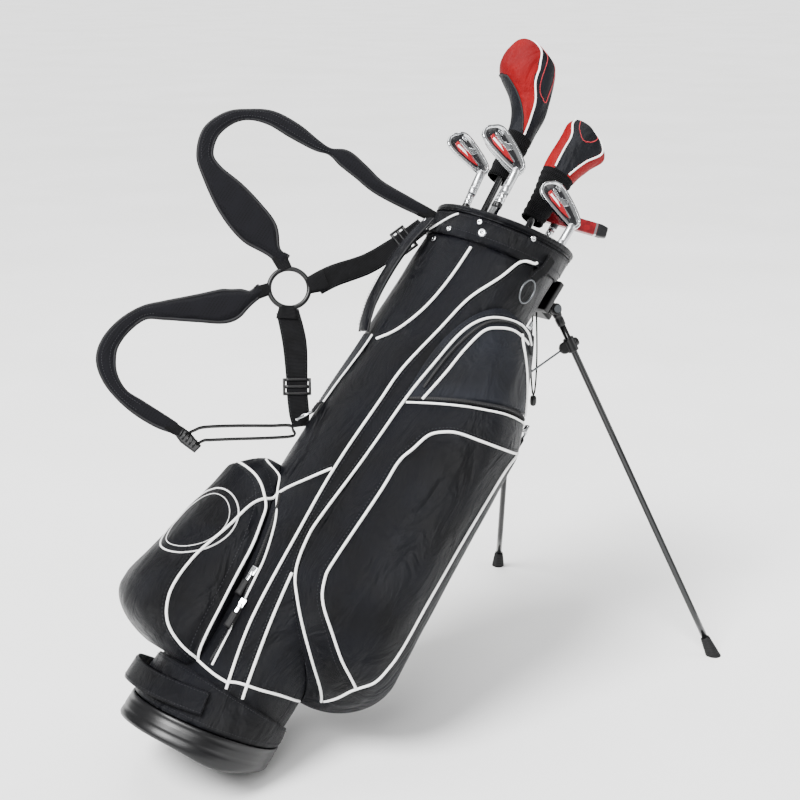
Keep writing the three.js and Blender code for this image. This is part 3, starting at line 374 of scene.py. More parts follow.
# %% Mesh helpers
def finish(mesh_object, body, materials=(), replaces=(), level=0):
    """Hangs a piece on its body, gives it its finishes and hides the frame nodes it stands for."""
    for material in materials:
        mesh_object.data.materials.append(material)
    for polygon in getattr(mesh_object.data, "polygons", ()):
        polygon.use_smooth = True
    if level:
        subdivide = mesh_object.modifiers.new("smooth", "SUBSURF")
        subdivide.levels = level
        subdivide.render_levels = level
    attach(mesh_object, body)
    if replaces:
        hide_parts(*replaces)
    return mesh_object


def new_object(name, bm):
    mesh = bpy.data.meshes.new(name)
    bm.to_mesh(mesh)
    bm.free()
    made = bpy.data.objects.new(name, mesh)
    bpy.context.scene.collection.objects.link(made)
    return made


def loft_into(bm, rings, capped=True, looped=False, material_at=None):
    """Adds rings of bag-frame points to a bmesh as a closed skin, with UVs in metres."""
    uv_layer = bm.loops.layers.uv.verify()
    made = [[bm.verts.new(to_model(p)) for p in ring] for ring in rings]
    count = len(rings[0])
    along = [0.0]
    for before, after in zip(rings, rings[1:]):
        step = sum((before[i] - after[i]).length for i in range(0, count, max(1, count // 6)))
        along.append(along[-1] + step / len(range(0, count, max(1, count // 6))) / 1000)
    round_it = [[0.0] for _ in rings]
    for ring, lengths in zip(rings, round_it):
        for i in range(count):
            lengths.append(lengths[-1] + (ring[(i + 1) % count] - ring[i]).length / 1000)
    last = len(rings) if looped else len(rings) - 1
    for r in range(last):
        above = (r + 1) % len(rings)
        for i in range(count):
            j = (i + 1) % count
            face = bm.faces.new((made[r][i], made[r][j], made[above][j], made[above][i]))
            rise = (along[r], along[r], along[above] or along[r], along[above] or along[r])
            spots = ((r, i), (r, i + 1), (above, i + 1), (above, i))
            for loop, (row, column), v in zip(face.loops, spots, rise):
                loop[uv_layer].uv = (round_it[row][column], v)
            if material_at:
                face.material_index = material_at(r / max(1, len(rings) - 1), i / count)
    if capped and not looped:
        for ring, row in ((made[0], 0), (made[-1], len(rings) - 1)):
            middle = bm.verts.new(sum((v.co for v in ring), Vector()) / count)
            for i in range(count):
                face = bm.faces.new((ring[i], ring[(i + 1) % count], middle))
                if material_at:
                    face.material_index = material_at(row / max(1, len(rings) - 1), i / count)
    return made


def loft(name, rings, capped=True, looped=False, material_at=None):
    bm = bmesh.new()
    loft_into(bm, rings, capped, looped, material_at)
    bmesh.ops.recalc_face_normals(bm, faces=bm.faces)
    return new_object(name, bm)


def revolve_rings(profile_at, segments):
    """One ring for each step of the profile, round the bag. profile_at(bearing) gives (radius, height)."""
    profiles = [profile_at(360 * s / segments) for s in range(segments)]
    steps = len(profiles[0])
    return [[at(360 * s / segments, *profiles[s][k]) for s in range(segments)] for k in range(steps)]


def section_rings(path, normals, section_at):
    """Rings of a section carried along a path. section_at(share) gives (side, lift) pairs."""
    rings = []
    last = len(path) - 1
    for i, (point, normal) in enumerate(zip(path, normals)):
        tangent = (path[min(i + 1, last)] - path[max(i - 1, 0)]).normalized()
        side = tangent.cross(normal).normalized()
        lift = side.cross(tangent).normalized()
        rings.append([point + side * a + lift * b for a, b in section_at(i / last)])
    return rings


def round_section(radius, sides=10):
    turns = [2 * math.pi * i / sides for i in range(sides)]
    return [(radius * math.cos(t), radius * math.sin(t)) for t in turns]


def crease(place, wide, deep):
    """A soft random dent or swell of cloth, in millimetres, that is the same on every run."""
    return deep * noise.noise(place / wide)


# %% [markdown]
# ## What repeats along a seam
# Stitches, zip teeth and piping all follow a line. A Geometry Nodes tree takes the line as edges
# with an outward direction on each point, spaces a small shape along it, and turns each one to lie
# on the cloth. A second tree sweeps a round section along the same kind of line for the piping.

# %% A line on the cloth
def line_object(name, points, outward, closed=False):
    mesh = bpy.data.meshes.new(name)
    edges = [(i, i + 1) for i in range(len(points) - 1)]
    if closed:
        edges.append((len(points) - 1, 0))
    mesh.from_pydata([to_model(p) for p in points], edges, [])
    attribute = mesh.attributes.new("outward", "FLOAT_VECTOR", "POINT")
    for item, direction in zip(attribute.data, outward):
        item.vector = to_model(direction) - to_model(Vector())
    made = bpy.data.objects.new(name, mesh)
    bpy.context.scene.collection.objects.link(made)
    return made


def new_tree(name, inputs):
    tree = bpy.data.node_groups.new(name, "GeometryNodeTree")
    tree.interface.new_socket("Geometry", in_out="INPUT", socket_type="NodeSocketGeometry")
    tree.interface.new_socket("Geometry", in_out="OUTPUT", socket_type="NodeSocketGeometry")
    for label, kind in inputs:
        tree.interface.new_socket(label, in_out="INPUT", socket_type=kind)
    return tree, add_node(tree, "NodeGroupInput"), add_node(tree, "NodeGroupOutput")


def bake_tree(source, tree, values):
    """Runs a tree on an object and gives back its result as a plain mesh in a new object."""
    modifier = source.modifiers.new("nodes", "NODES")
    modifier.node_group = tree
    for item in tree.interface.items_tree:
        if item.in_out == "INPUT" and item.name in values:
            modifier[item.identifier] = values[item.name]
    graph = bpy.context.evaluated_depsgraph_get()
    mesh = bpy.data.meshes.new_from_object(source.evaluated_get(graph), depsgraph=graph)
    name = source.name
    old = source.data
    bpy.data.objects.remove(source)
    bpy.data.meshes.remove(old)
    made = bpy.data.objects.new(name, mesh)
    bpy.context.scene.collection.objects.link(made)
    return made


def build_stitch_tree():
    tree, start, end = new_tree("stitches_along_a_seam", [("Spacing", "NodeSocketFloat"),
                                                          ("Stitch Length", "NodeSocketFloat"),
                                                          ("Thread Width", "NodeSocketFloat"),
                                                          ("Thread", "NodeSocketMaterial")])
    curve = add_node(tree, "GeometryNodeMeshToCurve", inputs={"Mesh": start.outputs["Geometry"]})
    spread = add_node(tree, "GeometryNodeResampleCurve", {"mode": "LENGTH"}, {
        "Curve": curve.outputs[0], "Length": start.outputs["Spacing"]})
    size = add_node(tree, "ShaderNodeCombineXYZ", inputs={
        "X": start.outputs["Stitch Length"], "Y": start.outputs["Thread Width"],
        "Z": start.outputs["Thread Width"]})
    stitch = add_node(tree, "GeometryNodeMeshIcoSphere", inputs={"Radius": 0.5, "Subdivisions": 1})
    tangent = add_node(tree, "GeometryNodeInputTangent")
    outward = add_node(tree, "GeometryNodeInputNamedAttribute", {"data_type": "FLOAT_VECTOR"},
                       {"Name": "outward"})
    along = add_node(tree, "FunctionNodeAlignRotationToVector", {"axis": "X"}, {"Vector": tangent.outputs[0]})
    facing = add_node(tree, "FunctionNodeAlignRotationToVector", {"axis": "Z", "pivot_axis": "X"}, {
        "Rotation": along.outputs[0], "Vector": outward.outputs[0]})
    placed = add_node(tree, "GeometryNodeInstanceOnPoints", inputs={
        "Points": spread.outputs[0], "Instance": stitch.outputs[0],
        "Rotation": facing.outputs[0], "Scale": size.outputs[0]})
    real = add_node(tree, "GeometryNodeRealizeInstances", inputs={"Geometry": placed.outputs[0]})
    coloured = add_node(tree, "GeometryNodeSetMaterial", inputs={
        "Geometry": real.outputs[0], "Material": start.outputs["Thread"]})
    tree.links.new(coloured.outputs[0], end.inputs[0])
    return tree


def build_piping_tree():
    tree, start, end = new_tree("piping_along_a_seam", [
        ("Radius", "NodeSocketFloat"), ("Vinyl", "NodeSocketMaterial")])
    curve = add_node(tree, "GeometryNodeMeshToCurve", inputs={"Mesh": start.outputs["Geometry"]})
    section = add_node(tree, "GeometryNodeCurvePrimitiveCircle", inputs={
        "Resolution": 8, "Radius": start.outputs["Radius"]})
    swept = add_node(tree, "GeometryNodeCurveToMesh", inputs={
        "Curve": curve.outputs[0], "Profile Curve": section.outputs[0], "Fill Caps": True})
    real = add_node(tree, "GeometryNodeRealizeInstances", inputs={"Geometry": swept.outputs[0]})
    coloured = add_node(tree, "GeometryNodeSetMaterial", inputs={
        "Geometry": real.outputs[0], "Material": start.outputs["Vinyl"]})
    tree.links.new(coloured.outputs[0], end.inputs[0])
    return tree


stitch_tree = build_stitch_tree()
piping_tree = build_piping_tree()


def stitches(name, points, outward, body="bag", thread=None, spacing=4.2, length=3.0, width=0.9,
             closed=False):
    line = line_object(name, points, outward, closed)
    row = bake_tree(line, stitch_tree, {
        "Spacing": spacing / 1000, "Stitch Length": length / 1000, "Thread Width": width / 1000,
        "Thread": thread or thread_grey})
    return finish(row, body)


def piping(name, points, outward, body="bag", radius=2.0, vinyl=None, closed=False):
    line = line_object(name, points, outward, closed)
    cord = bake_tree(line, piping_tree, {"Radius": radius / 1000, "Vinyl": vinyl or white_vinyl})
    return finish(cord, body)

# %% [markdown]
# ## The drawstring
# The one loose cord hangs from the stand's bracket: a doubled 2.6 mm elastic string with a small
# cord lock at the bottom. It is limp, so it hangs straight down and turns back in a short bend.
# A round section swept along its smoothed route draws it.

# %% Drawstring and its lock
def hanging(drop, sideways=0.0):
    start = Vector((COLLAR + 14, -22, 800))
    return start + WORLD_DOWN * drop + Vector((0, sideways, 0))


cord_drops = [(3, 0), (20, -1), (60, -3), (100, -3), (125, -1), (134, 2), (125, 5), (100, 8), (60, 9),
              (20, 8), (3, 7)]
cord_path = [Vector(p) for p in smooth([tuple(hanging(d, s)) for d, s in cord_drops], 61)]
cord_normals = [Vector((0, 1, 0)).cross(WORLD_DOWN)] * len(cord_path)
drawstring = loft("hanging_drawstring", section_rings(cord_path, cord_normals,
                                                      lambda share: round_section(1.3, 10)))
finish(drawstring, "bag", [webbing], ["drawstring"])

lock_profile = [(0.2, 0), (3.4, 0), (4.4, 1.4), (5.0, 4), (5.2, 8), (4.9, 12), (4.0, 14.6), (2.6, 15.8),
                (0.2, 16)]
lock_top = hanging(135.8, 2)
lock_side = Vector((0, 1, 0))
lock_other = lock_side.cross(WORLD_DOWN)
lock_rings = [[lock_top + WORLD_DOWN * drop + lock_side * a + lock_other * b
               for a, b in round_section(radius, 28)]
              for radius, drop in lock_profile]
cord_lock = finish(loft("cord_lock_barrel", lock_rings), "bag", [moulded_plastic], ["cord_lock"])

# %% [markdown]
# ## The tube
# The tube is a stiff plastic core wrapped in sewn cloth. A plain cylinder would look like a pipe, so
# the skin is drawn as a fine grid and let in by a millimetre or two where real cloth would dip.

# %% Tube skin
def tube_radius(bearing, height):
    place = at(bearing, TUBE, height)
    dip = crease(place, 90, 1.6) + crease(place + Vector((7, 3, 90)), 34, 0.7)
    return TUBE - 0.6 + min(0.6, dip)


def tube_profile(bearing):
    top = rim_height(bearing) - 50.3
    outside = [(tube_radius(bearing, 28 + (top - 28) * k / 110), 28 + (top - 28) * k / 110)
               for k in range(111)]
    inside = [(95, top), (95, top - 120), (95, 33)]
    return [(1, 26.2), (96, 26.2)] + outside + inside + [(1, 32)]


tube_skin = loft("tube_skin", revolve_rings(tube_profile, 144))
finish(tube_skin, "bag", [black_cloth], ["bag_tube"])
print("tube skin has", len(tube_skin.data.polygons), "faces")

# %% [markdown]
# ## Boot and cuff
# The boot is one moulding with a rounded lower edge, shallow ribs and a lug that the rod stands on.
# Turning a profile gives the shell, and the ground cuts a flat on it where it rests.

# %% Boot
BOOT = 105
BOOT_TILT = math.tan(math.radians(12))


def boot_bulge(bearing):
    turn = abs((bearing + 180) % 360 - 180)
    return 8 * math.exp(-(((turn - 106) / 26) ** 2))


def boot_profile(bearing):
    slope = math.cos(math.radians(bearing)) * BOOT_TILT
    bulge = boot_bulge(bearing)
    points = [(1, 0.1), (60, 60 * slope - bulge * 0.4), (92, 92 * slope - bulge),
              (98, 98 * slope - bulge + 0.2), (102.4, 102.4 * slope + 1.6 - bulge),
              (104.6, 104.6 * slope + 4.4 - bulge * 0.8)]
    low, high = BOOT * slope + 6, BOOT * slope + 36
    for k in range(13):
        height = mix(low, high, k / 12)
        groove = 0.9 if k in (3, 9) else 0.0
        points.append((BOOT - groove, height))
    points += [(104.2, high + 0.5), (102.6, high + 0.5), (102, high - 0.5), (102, 102 * slope + 5), (1, 4)]
    return points


GROUND_CLEARANCE = Vector((0, 0, 0.0002))       # so that nothing lies in the floor's own plane


def cut_at_ground(bm):
    """Takes off what would be under the floor, and closes the flat that is left."""
    cut = bmesh.ops.bisect_plane(bm, geom=bm.verts[:] + bm.edges[:] + bm.faces[:], plane_co=GROUND_CLEARANCE,
                                 plane_no=Vector((0, 0, -1)), clear_outer=True)
    rim_edges = [e for e in cut["geom_cut"] if isinstance(e, bmesh.types.BMEdge)]
    bmesh.ops.holes_fill(bm, edges=rim_edges, sides=0)


boot_bm = bmesh.new()
loft_into(boot_bm, revolve_rings(boot_profile, 144))
lug_rings = []
for x, low in ((103, 46), (112, 48), (117.5, 50.5), (119, 52)):
    half = 9 if x < 118 else 7.5
    top = 58 if x < 118 else 56.8
    lug_rings.append([Vector((x, a * half, b)) for a, b in ((-1, low), (1, low), (1, top), (-1, top))])
loft_into(boot_bm, lug_rings)
bmesh.ops.recalc_face_normals(boot_bm, faces=boot_bm.faces)
cut_at_ground(boot_bm)
boot = finish(new_object("boot_moulding", boot_bm), "boot", [moulded_plastic], ["base_boot"])
print("boot has", len(boot.data.polygons), "faces")

# %% Cuff with its stitched hems
def cuff_low(bearing):
    return BOOT * math.cos(math.radians(bearing)) * BOOT_TILT + 37.6


def cuff_profile(bearing):
    low = cuff_low(bearing)
    wave = crease(at(bearing, 104, 60), 40, 0.8)
    return [(98.4, low + 0.3), (101.5, low - 0.3), (103.6, low + 1.2), (104.0 + wave * 0.3, low + 4),
            (103.8 + wave, mix(low, 78, 0.5)), (102.6, 74), (101.6, 79), (100.6, 80.2), (98.4, 79.6)]


cuff = loft("base_cuff_band", revolve_rings(cuff_profile, 144), capped=False)
finish(cuff, "bag", [black_cloth], ["base_cuff"])
bearings_round = [3 * k for k in range(120)]
for label, lift in (("upper", -5), ("lower", 0)):
    points = [at(b, 103.4 if lift else 104.2, (76 if lift else cuff_low(b) + 7)) for b in bearings_round]
    stitches(f"cuff_stitches_{label}", points, [at(b, 1, 0) for b in bearings_round], closed=True)
print("cuff sewn")

# %% [markdown]
# ## Collar and rim
# The collar is a cloth-covered band that holds the mouth open, and the rim is a padded roll. Both
# slope with the mouth, so their profiles change with the bearing.

# %% Collar band
def collar_profile(bearing):
    low, high = rim_height(bearing) - 49.8, rim_height(bearing) - 11.5
    wave = crease(at(bearing, 103, high), 45, 0.5)
    return [(95.2, low), (99.6, low), (101.4, low + 3), (102.4, low + 8), (102.9, low + 12),
            (102.6 + wave, mix(low, high, 0.55)), (102.7, high - 4), (101.6, high), (95.2, high)]


collar = loft("collar_band_cover", revolve_rings(collar_profile, 144), capped=False, looped=True)
finish(collar, "bag", [black_cloth], ["collar_band"])


def rim_profile(bearing):
    middle = rim_height(bearing) - 5.5
    pad = 1 + 0.07 * noise.noise(at(bearing, 100, middle) / 22)
    turns = [math.radians(360 * k / 14) for k in range(14)]
    return [(99 + 5.5 * pad * math.cos(t), middle + 5.6 * pad * math.sin(t)) for t in turns]


rim = loft("rim_roll_padding", revolve_rings(rim_profile, 160), looped=True)
finish(rim, "bag", [black_cloth], ["rim_roll"])
rim_seam = [at(b, 103.0, rim_height(b) - 11.2) for b in bearings_round]
piping("rim_lower_bead", rim_seam, [at(b, 1, 0) for b in bearings_round], radius=1.1, vinyl=black_cloth,
       closed=True)
stitches("collar_stitches_upper", [at(b, 103.1, rim_height(b) - 17) for b in bearings_round],
         [at(b, 1, 0) for b in bearings_round], closed=True)
stitches("collar_stitches_lower", [at(b, 102.8, rim_height(b) - 40) for b in bearings_round],
         [at(b, 1, 0) for b in bearings_round], closed=True)
print("collar and rim made")

# %% [markdown]
# ## Mouth divider
# The divider is a plastic grid wrapped in brushed cloth over thin foam. Remeshing a copy of the
# frame's solid at 2 mm and smoothing it rounds every edge the way wrapped foam is round.

# %% Divider wrapped in cloth
def soft_copy(name, node_name, voxel_mm, rounds, grow_mm=0.0):
    """A rounded copy of a frame solid, as plain mesh in a new object."""
    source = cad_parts[node_name]
    made = bpy.data.objects.new(name, source.data.copy())
    made.data.materials.clear()
    made.data.transform(source.matrix_world)
    bpy.context.scene.collection.objects.link(made)
    weld = made.modifiers.new("weld", "WELD")
    weld.merge_threshold = 0.00002
    remesh = made.modifiers.new("remesh", "REMESH")
    remesh.mode = "VOXEL"
    remesh.voxel_size = voxel_mm / 1000
    soften = made.modifiers.new("soften", "SMOOTH")
    soften.factor = 0.5
    soften.iterations = rounds
    if grow_mm:
        swell = made.modifiers.new("swell", "DISPLACE")
        swell.mid_level = 0.0
        swell.strength = grow_mm / 1000
    graph = bpy.context.evaluated_depsgraph_get()
    mesh = bpy.data.meshes.new_from_object(made.evaluated_get(graph), depsgraph=graph)
    made.modifiers.clear()
    made.data = mesh
    return made


divider = soft_copy("divider_wrapped", "club_divider", 1.6, 6, 0.5)
# the navy nap again, for a piece without a UV map
lining_on_object = woven("brushed_lining_divider", "#060a18", "#0d1226", 0.85, 2.0, 0.2, 0.12, has_uv=False)
finish(divider, "bag", [lining_on_object], ["club_divider"])
print("divider has", len(divider.data.polygons), "faces")

# %% Padded lining inside the mouth
def lining_profile(bearing):
    high = rim_height(bearing) - 8
    hump = 2.5 + 1.6 * noise.noise(at(bearing, 60, 30) / 40)
    return [(94.8, high - 62), (93.2, high - 60), (93 - hump * 0.5, high - 40), (93 - hump, high - 22),
            (93.4 - hump * 0.6, high - 6), (94.8, high)]


lining = loft("mouth_lining", revolve_rings(lining_profile, 120), capped=False, looped=True)
finish(lining, "bag", [lining_cloth])
print("lining made")
# %% [markdown]
# ## The long side pod
# Two pockets share one swollen side: a big apparel pocket and a smaller valuables pocket above it,
# parted by a slanting zip. Their outline is a rule of height, so they are lofted column by column
# and then creased: long folds down the sides, where a half-full pocket hangs in on itself.

# %% Pod shape
def pod_left(height):
    low = clamp((285 - height) / 175)
    high = clamp((height - 590) / 144)
    return -133 + 105 * low * low + 46 * (1 - math.sqrt(1 - high * high))


def pod_right(height):
    high = clamp((height - 690) / 41)
    return -25 - 22 * high * high


def pod_fullness(height):
    low = clamp((210 - height) / 90)
    fall = clamp((height - 560) / 171)
    body = mix(97, 84, clamp((height - 250) / 350))
    return max(2, body * math.sqrt(1 - low * low * 0.995) * (1 - 0.78 * fall ** 1.2))


def pod_swell(share):
    return max(0.0, math.sin(math.pi * clamp(share) ** 1.7)) ** 0.75


HEM = TUBE + 2.8


def pod_crease(share, height):
    """Folds of the cloth, in millimetres, deepest where the pod is fullest."""
    place = Vector((share * 3.2, height / 210, 0))
    folds = 3.2 * noise.noise(Vector((share * 9, height / 420, 2)))
    small = 1.3 * noise.noise(Vector((share * 16, height / 70, 5)))
    return (folds + small + 2.4 * noise.noise(place)) * pod_swell(share) - 0.8


def pod_point(share, height, lift=0.0):
    bearing = mix(pod_left(height), pod_right(height), share)
    radius = HEM + pod_fullness(height) * pod_swell(share) + pod_crease(share, height) + lift
    return at(bearing, max(TUBE + 0.6, radius), height)


ZIP_NORMAL = across(-0.49, 0, 1).normalized()
ZIP_MIDDLE = across(13, 98, 546)


def zip_height(share):
    low, high = 300.0, 725.0
    for _ in range(26):
        middle = (low + high) / 2
        if (pod_point(share, middle) - ZIP_MIDDLE).dot(ZIP_NORMAL) > 0:
            high = middle
        else:
            low = middle
    return low


POD_COLUMNS = 84
pod_shares = [k / POD_COLUMNS for k in range(POD_COLUMNS + 1)]
zip_heights = [zip_height(s) for s in pod_shares]
print("the slanting zip runs from", round(zip_heights[0]), "to", round(zip_heights[-1]), "mm up the bag")

# %% Pod pockets
def pod_pocket(name, low_at, high_at, rows, lip_low, lip_high):
    rings = []
    for r in range(rows + 1):
        share_up = 0.5 - 0.5 * math.cos(math.pi * r / rows)
        ring = []
        for k, share in enumerate(pod_shares):
            height = mix(low_at[k], high_at[k], share_up)
            tuck = 0.0
            if lip_high:
                tuck += 5 * math.exp(-((high_at[k] - height) / 4) ** 2)
            if lip_low:
                tuck += 5 * math.exp(-((height - low_at[k]) / 4) ** 2)
            ring.append(pod_point(share, height, -tuck * pod_swell(share)))
        for step in range(6, -1, -1):
            k = round(step / 6 * POD_COLUMNS)
            height = mix(low_at[k], high_at[k], share_up)
            bearing = mix(pod_left(height), pod_right(height), step / 6)
            ring.append(at(bearing, TUBE + 0.45, height))
        rings.append(ring)
    return loft(name, rings)


floor_heights = [120.0] * len(pod_shares)
top_heights = [731.0] * len(pod_shares)
apparel = pod_pocket("apparel_pocket_cloth", floor_heights, [h - 2.5 for h in zip_heights], 120, False, True)
finish(apparel, "bag", [black_cloth], ["apparel_pocket"])
valuables = pod_pocket("valuables_pocket_cloth", [h + 2.5 for h in zip_heights], top_heights, 70, True, False)
finish(valuables, "bag", [grey_cloth], ["valuables_pocket"])
print("pod pockets have", len(apparel.data.polygons) + len(valuables.data.polygons), "faces")

# %% [markdown]
# ## The ball pocket
# The ball pocket sits low on the upper side. It is a round-shouldered bag full of air, so it is the
# smoothest of the pockets, with shallow dents only.

# %% Ball pocket shape
def ball_half_angle(height):
    share = clamp((height - 98) / 288)
    low = clamp((98 - height) / 30)
    return 57 * math.sqrt(1 - share * share) * (1 - 0.35 * low * low)


def ball_fullness(height):
    high = clamp((height - 150) / 238)
    low = clamp((135 - height) / 54)
    lip = clamp((386 - height) / 40)
    return 98 * (1 - 0.5 * high) * math.sqrt(1 - low * low) * lip ** 0.45


def ball_point(share, height, lift=0.0):
    half = ball_half_angle(height)
    swell = max(0.0, math.sin(math.pi * clamp(share))) ** 0.62
    place = Vector((share * 4, height / 80, 9))
    dent = (2.6 * noise.noise(place) + 1.2 * noise.noise(place * 2.7)) * swell
    radius = max(TUBE + 0.6, HEM + ball_fullness(height) * swell + dent - 0.5 + lift)
    return at(140 + half - 2 * half * share, radius, height)


ball_rings = []
for r in range(91):
    height = mix(82.5, 382.5, 0.5 - 0.5 * math.cos(math.pi * r / 90))
    ring = [ball_point(k / 72, height) for k in range(73)]
    half = ball_half_angle(height)
    ring += [at(140 - half + 2 * half * (1 - step / 6), TUBE + 0.45, height) for step in range(6, -1, -1)]
    ball_rings.append(ring)
ball_pocket = loft("ball_pocket_cloth", ball_rings)
finish(ball_pocket, "bag", [black_cloth], ["ball_pocket"])
print("ball pocket has", len(ball_pocket.data.polygons), "faces")

# %% Far pocket
def far_point(share, height, lift=0.0):
    low = clamp((205 - height) / 35) ** 2
    high = clamp((height - 560) / 37) ** 2
    bearing = mix(31 + 12 * low + 10 * high, 79 - 10 * low - 10 * high, share)
    low_end = math.sqrt(1 - 0.98 * clamp((215 - height) / 45) ** 2)
    high_end = math.sqrt(1 - 0.95 * clamp((height - 540) / 57) ** 2)
    full = 46 * low_end * high_end
    swell = max(0.0, math.sin(math.pi * clamp(share))) ** 0.6
    dent = 2.2 * noise.noise(Vector((share * 4, height / 90, 21))) * swell
    return at(bearing, max(TUBE + 0.6, HEM + full * swell + dent - 0.5 + lift), height)


far_rings = []
for r in range(81):
    height = mix(170.5, 596.5, 0.5 - 0.5 * math.cos(math.pi * r / 80))
    ring = [far_point(k / 40, height) for k in range(41)]
    ring += [Vector((p.x, p.y, 0)).normalized() * (TUBE + 0.45) + Vector((0, 0, height))
             for p in (far_point(step / 4, height) for step in range(4, -1, -1))]
    far_rings.append(ring)
far_pocket = finish(loft("far_pocket_cloth", far_rings), "bag", [black_cloth], ["far_pocket"])
far_edge = ([far_point(0.02, h, 1.5) for h in range(190, 580, 10)]
            + [far_point(0.98, h, 1.5) for h in range(570, 180, -10)])
piping("far_pocket_piping", far_edge, [Vector((p.x, p.y, 0)).normalized() for p in far_edge], closed=True)
far_zip = [far_point(0.24, h, 0.6) for h in range(225, 556, 6)]
far_out = [Vector((p.x, p.y, 0)).normalized() for p in far_zip]
piping("far_pocket_zip_tape", far_zip, far_out, radius=2.4, vinyl=zip_tape)
stitches("far_pocket_zip_teeth", [p + n * 2.2 for p, n in zip(far_zip, far_out)], far_out,
         thread=zip_coil, spacing=2.4, length=1.5, width=3.2)
print("far pocket made")

# %% [markdown]
# ## Seams of the bag
# White piping marks every panel edge. Each seam is a few stops of height and bearing, joined by a
# smooth curve and laid on whatever cloth is outermost there, so it can never sink or float.

# %% Where the cloth is
def front_point(bearing, height, lift=0.0):
    """The outermost cloth at a bearing and height, raised by lift."""
    turn = (bearing + 180) % 360 - 180
    best = tube_radius(bearing, height)
    if height < 80.5 and height > cuff_low(bearing):
        best = 103.9
    elif height > rim_height(bearing) - 49:
        best = 103.0
    if 120 < height < 731:
        left, right = pod_left(height), pod_right(height)
        if left < turn < right:
            p = pod_point((turn - left) / (right - left), height)
            best = max(best, math.hypot(p.x, p.y))
    if 82.5 < height < 382:
        half = ball_half_angle(height)
        if half and abs(bearing % 360 - 140) < half:
            p = ball_point((140 + half - bearing % 360) / (2 * half), height)
            best = max(best, math.hypot(p.x, p.y))
    return at(bearing, best + lift, height)


def seam(name, stops, count=60, lift=0.9, radius=2.0, sewn=5.5, closed=False, vinyl=None):
    line = smooth([(h, b) for h, b in stops], count)
    points = [front_point(b, h, lift) for h, b in line]
    for _ in range(2):
        evened = [(a + b * 2 + c) / 4 for a, b, c in zip(points, points[1:], points[2:])]
        points = [points[0]] + evened + [points[-1]]
    outward = [at(b, 1, 0) for h, b in line]
    piping(name, points, outward, radius=radius, closed=closed, vinyl=vinyl)
    if sewn:
        beside = []
        for i, point in enumerate(points):
            tangent = (points[min(i + 1, count - 1)] - points[max(i - 1, 0)]).normalized()
            spot = point + tangent.cross(outward[i]).normalized() * sewn
            beside.append(front_point(math.degrees(math.atan2(spot.y, spot.x)), spot.z, 0.4))
        stitches(name + "_stitches", beside, outward, spacing=5, length=3.4, width=1.0)
    return points


seam("piping_upper", [(777, 209), (728, 208), (678, 204), (642, 197), (616, 188), (600, 176)], 34)
seam("piping_long", [(812, 263), (808, 261), (798, 251), (761, 243), (710, 230), (652, 223), (576, 214),
                     (514, 212), (410, 209.5), (309, 212), (196, 216), (139, 221), (82, 229)], 110, sewn=-5.5)
seam("piping_low", [(256, 225), (186, 231), (110, 240), (82, 244)], 30)
seam("piping_foot", [(92, 228), (98, 236), (104, 252), (111, 268), (116, 285), (120, 305)], 30, sewn=0)
seam("piping_pod_outer", [(716, 297), (723, 290), (726, 279), (712, 259), (690, 246), (656, 238),
                          (598, 233), (539, 229), (443, 226), (341, 221), (306, 221), (264, 226),
                          (234, 237), (199, 256), (167, 280), (135, 312)], 120)
seam("piping_pod_arch", [(712, 291), (711, 275), (699, 262), (680, 252), (639, 246), (598, 243),
                         (549, 239)], 50)
seam("piping_pod_right", [(716, 282), (700, 286), (683, 293), (650, 300), (622, 303)], 30)
seam("piping_panel", [(568, 301), (562, 296), (542, 275), (532, 263), (522, 257), (508, 252), (482, 249),
                      (456, 246), (408, 246), (298, 244), (270, 245), (243, 251), (215, 265), (192, 279),
                      (173, 296)], 110)
seam("piping_panel_right", [(137, 311), (158, 301), (171, 297), (191, 295), (218, 293), (272, 292),
                            (387, 293), (519, 296), (568, 301)], 80)
seam("piping_ball_inner", [(355, 144), (348, 162), (328, 173), (302, 180), (250, 188), (173, 194),
                           (97, 197)], 70)
seam("piping_ball_outer", [(383, 140), (366, 162), (340, 175), (308, 189), (260, 199), (227, 202),
                           (163, 206), (99, 210)], 70, radius=1.6)
seam("piping_ball_curve", [(405, 208), (374, 193), (342, 176), (317, 174), (267, 176), (212, 175),
                           (165, 176), (133, 179), (112, 183), (100, 190), (96, 197)], 80)
seam("piping_ball_foot", [(95, 197), (92, 207), (90, 217), (90, 227)], 24, sewn=0)
seam("piping_collar", [(816, 184), (812, 180), (803, 174), (793, 167), (786, 159)], 24, sewn=0, radius=1.5)
print("seams piped")

# %% Zips of the pod and the ball pocket
def zip_line(name, points, outward, tape_radius=3.0):
    piping(name + "_tape", points, outward, radius=tape_radius, vinyl=zip_tape)
    stitches(name + "_teeth", [p + n * (tape_radius - 0.4) for p, n in zip(points, outward)], outward,
             thread=zip_coil, spacing=2.4, length=1.5, width=3.4)


pod_zip_points = []
pod_zip_out = []
for k in range(3, POD_COLUMNS - 2):
    p = pod_point(pod_shares[k], zip_heights[k], -2.8)
    pod_zip_points.append(p)
    pod_zip_out.append(Vector((p.x, p.y, 0)).normalized())
zip_line("apparel_zip", pod_zip_points, pod_zip_out)
below = [pod_point(pod_shares[k], zip_heights[k] - 7, 0.8) for k in range(3, POD_COLUMNS - 2)]
piping("apparel_zip_piping", below, pod_zip_out, radius=1.6)
ball_zip_line = smooth([(342, 178), (325, 183), (300, 188), (262, 193.5), (232, 197.6), (188, 204.2),
                        (150, 206.5), (104, 207)], 70)
ball_zip_points = [front_point(b, h, 0.4) for h, b in ball_zip_line]
zip_line("ball_zip", ball_zip_points, [at(b, 1, 0) for h, b in ball_zip_line], 2.2)
arch_line = smooth([(706, 300), (718, 283), (719, 272), (705, 258), (685, 249), (650, 242), (610, 238),
                    (565, 236)], 60)
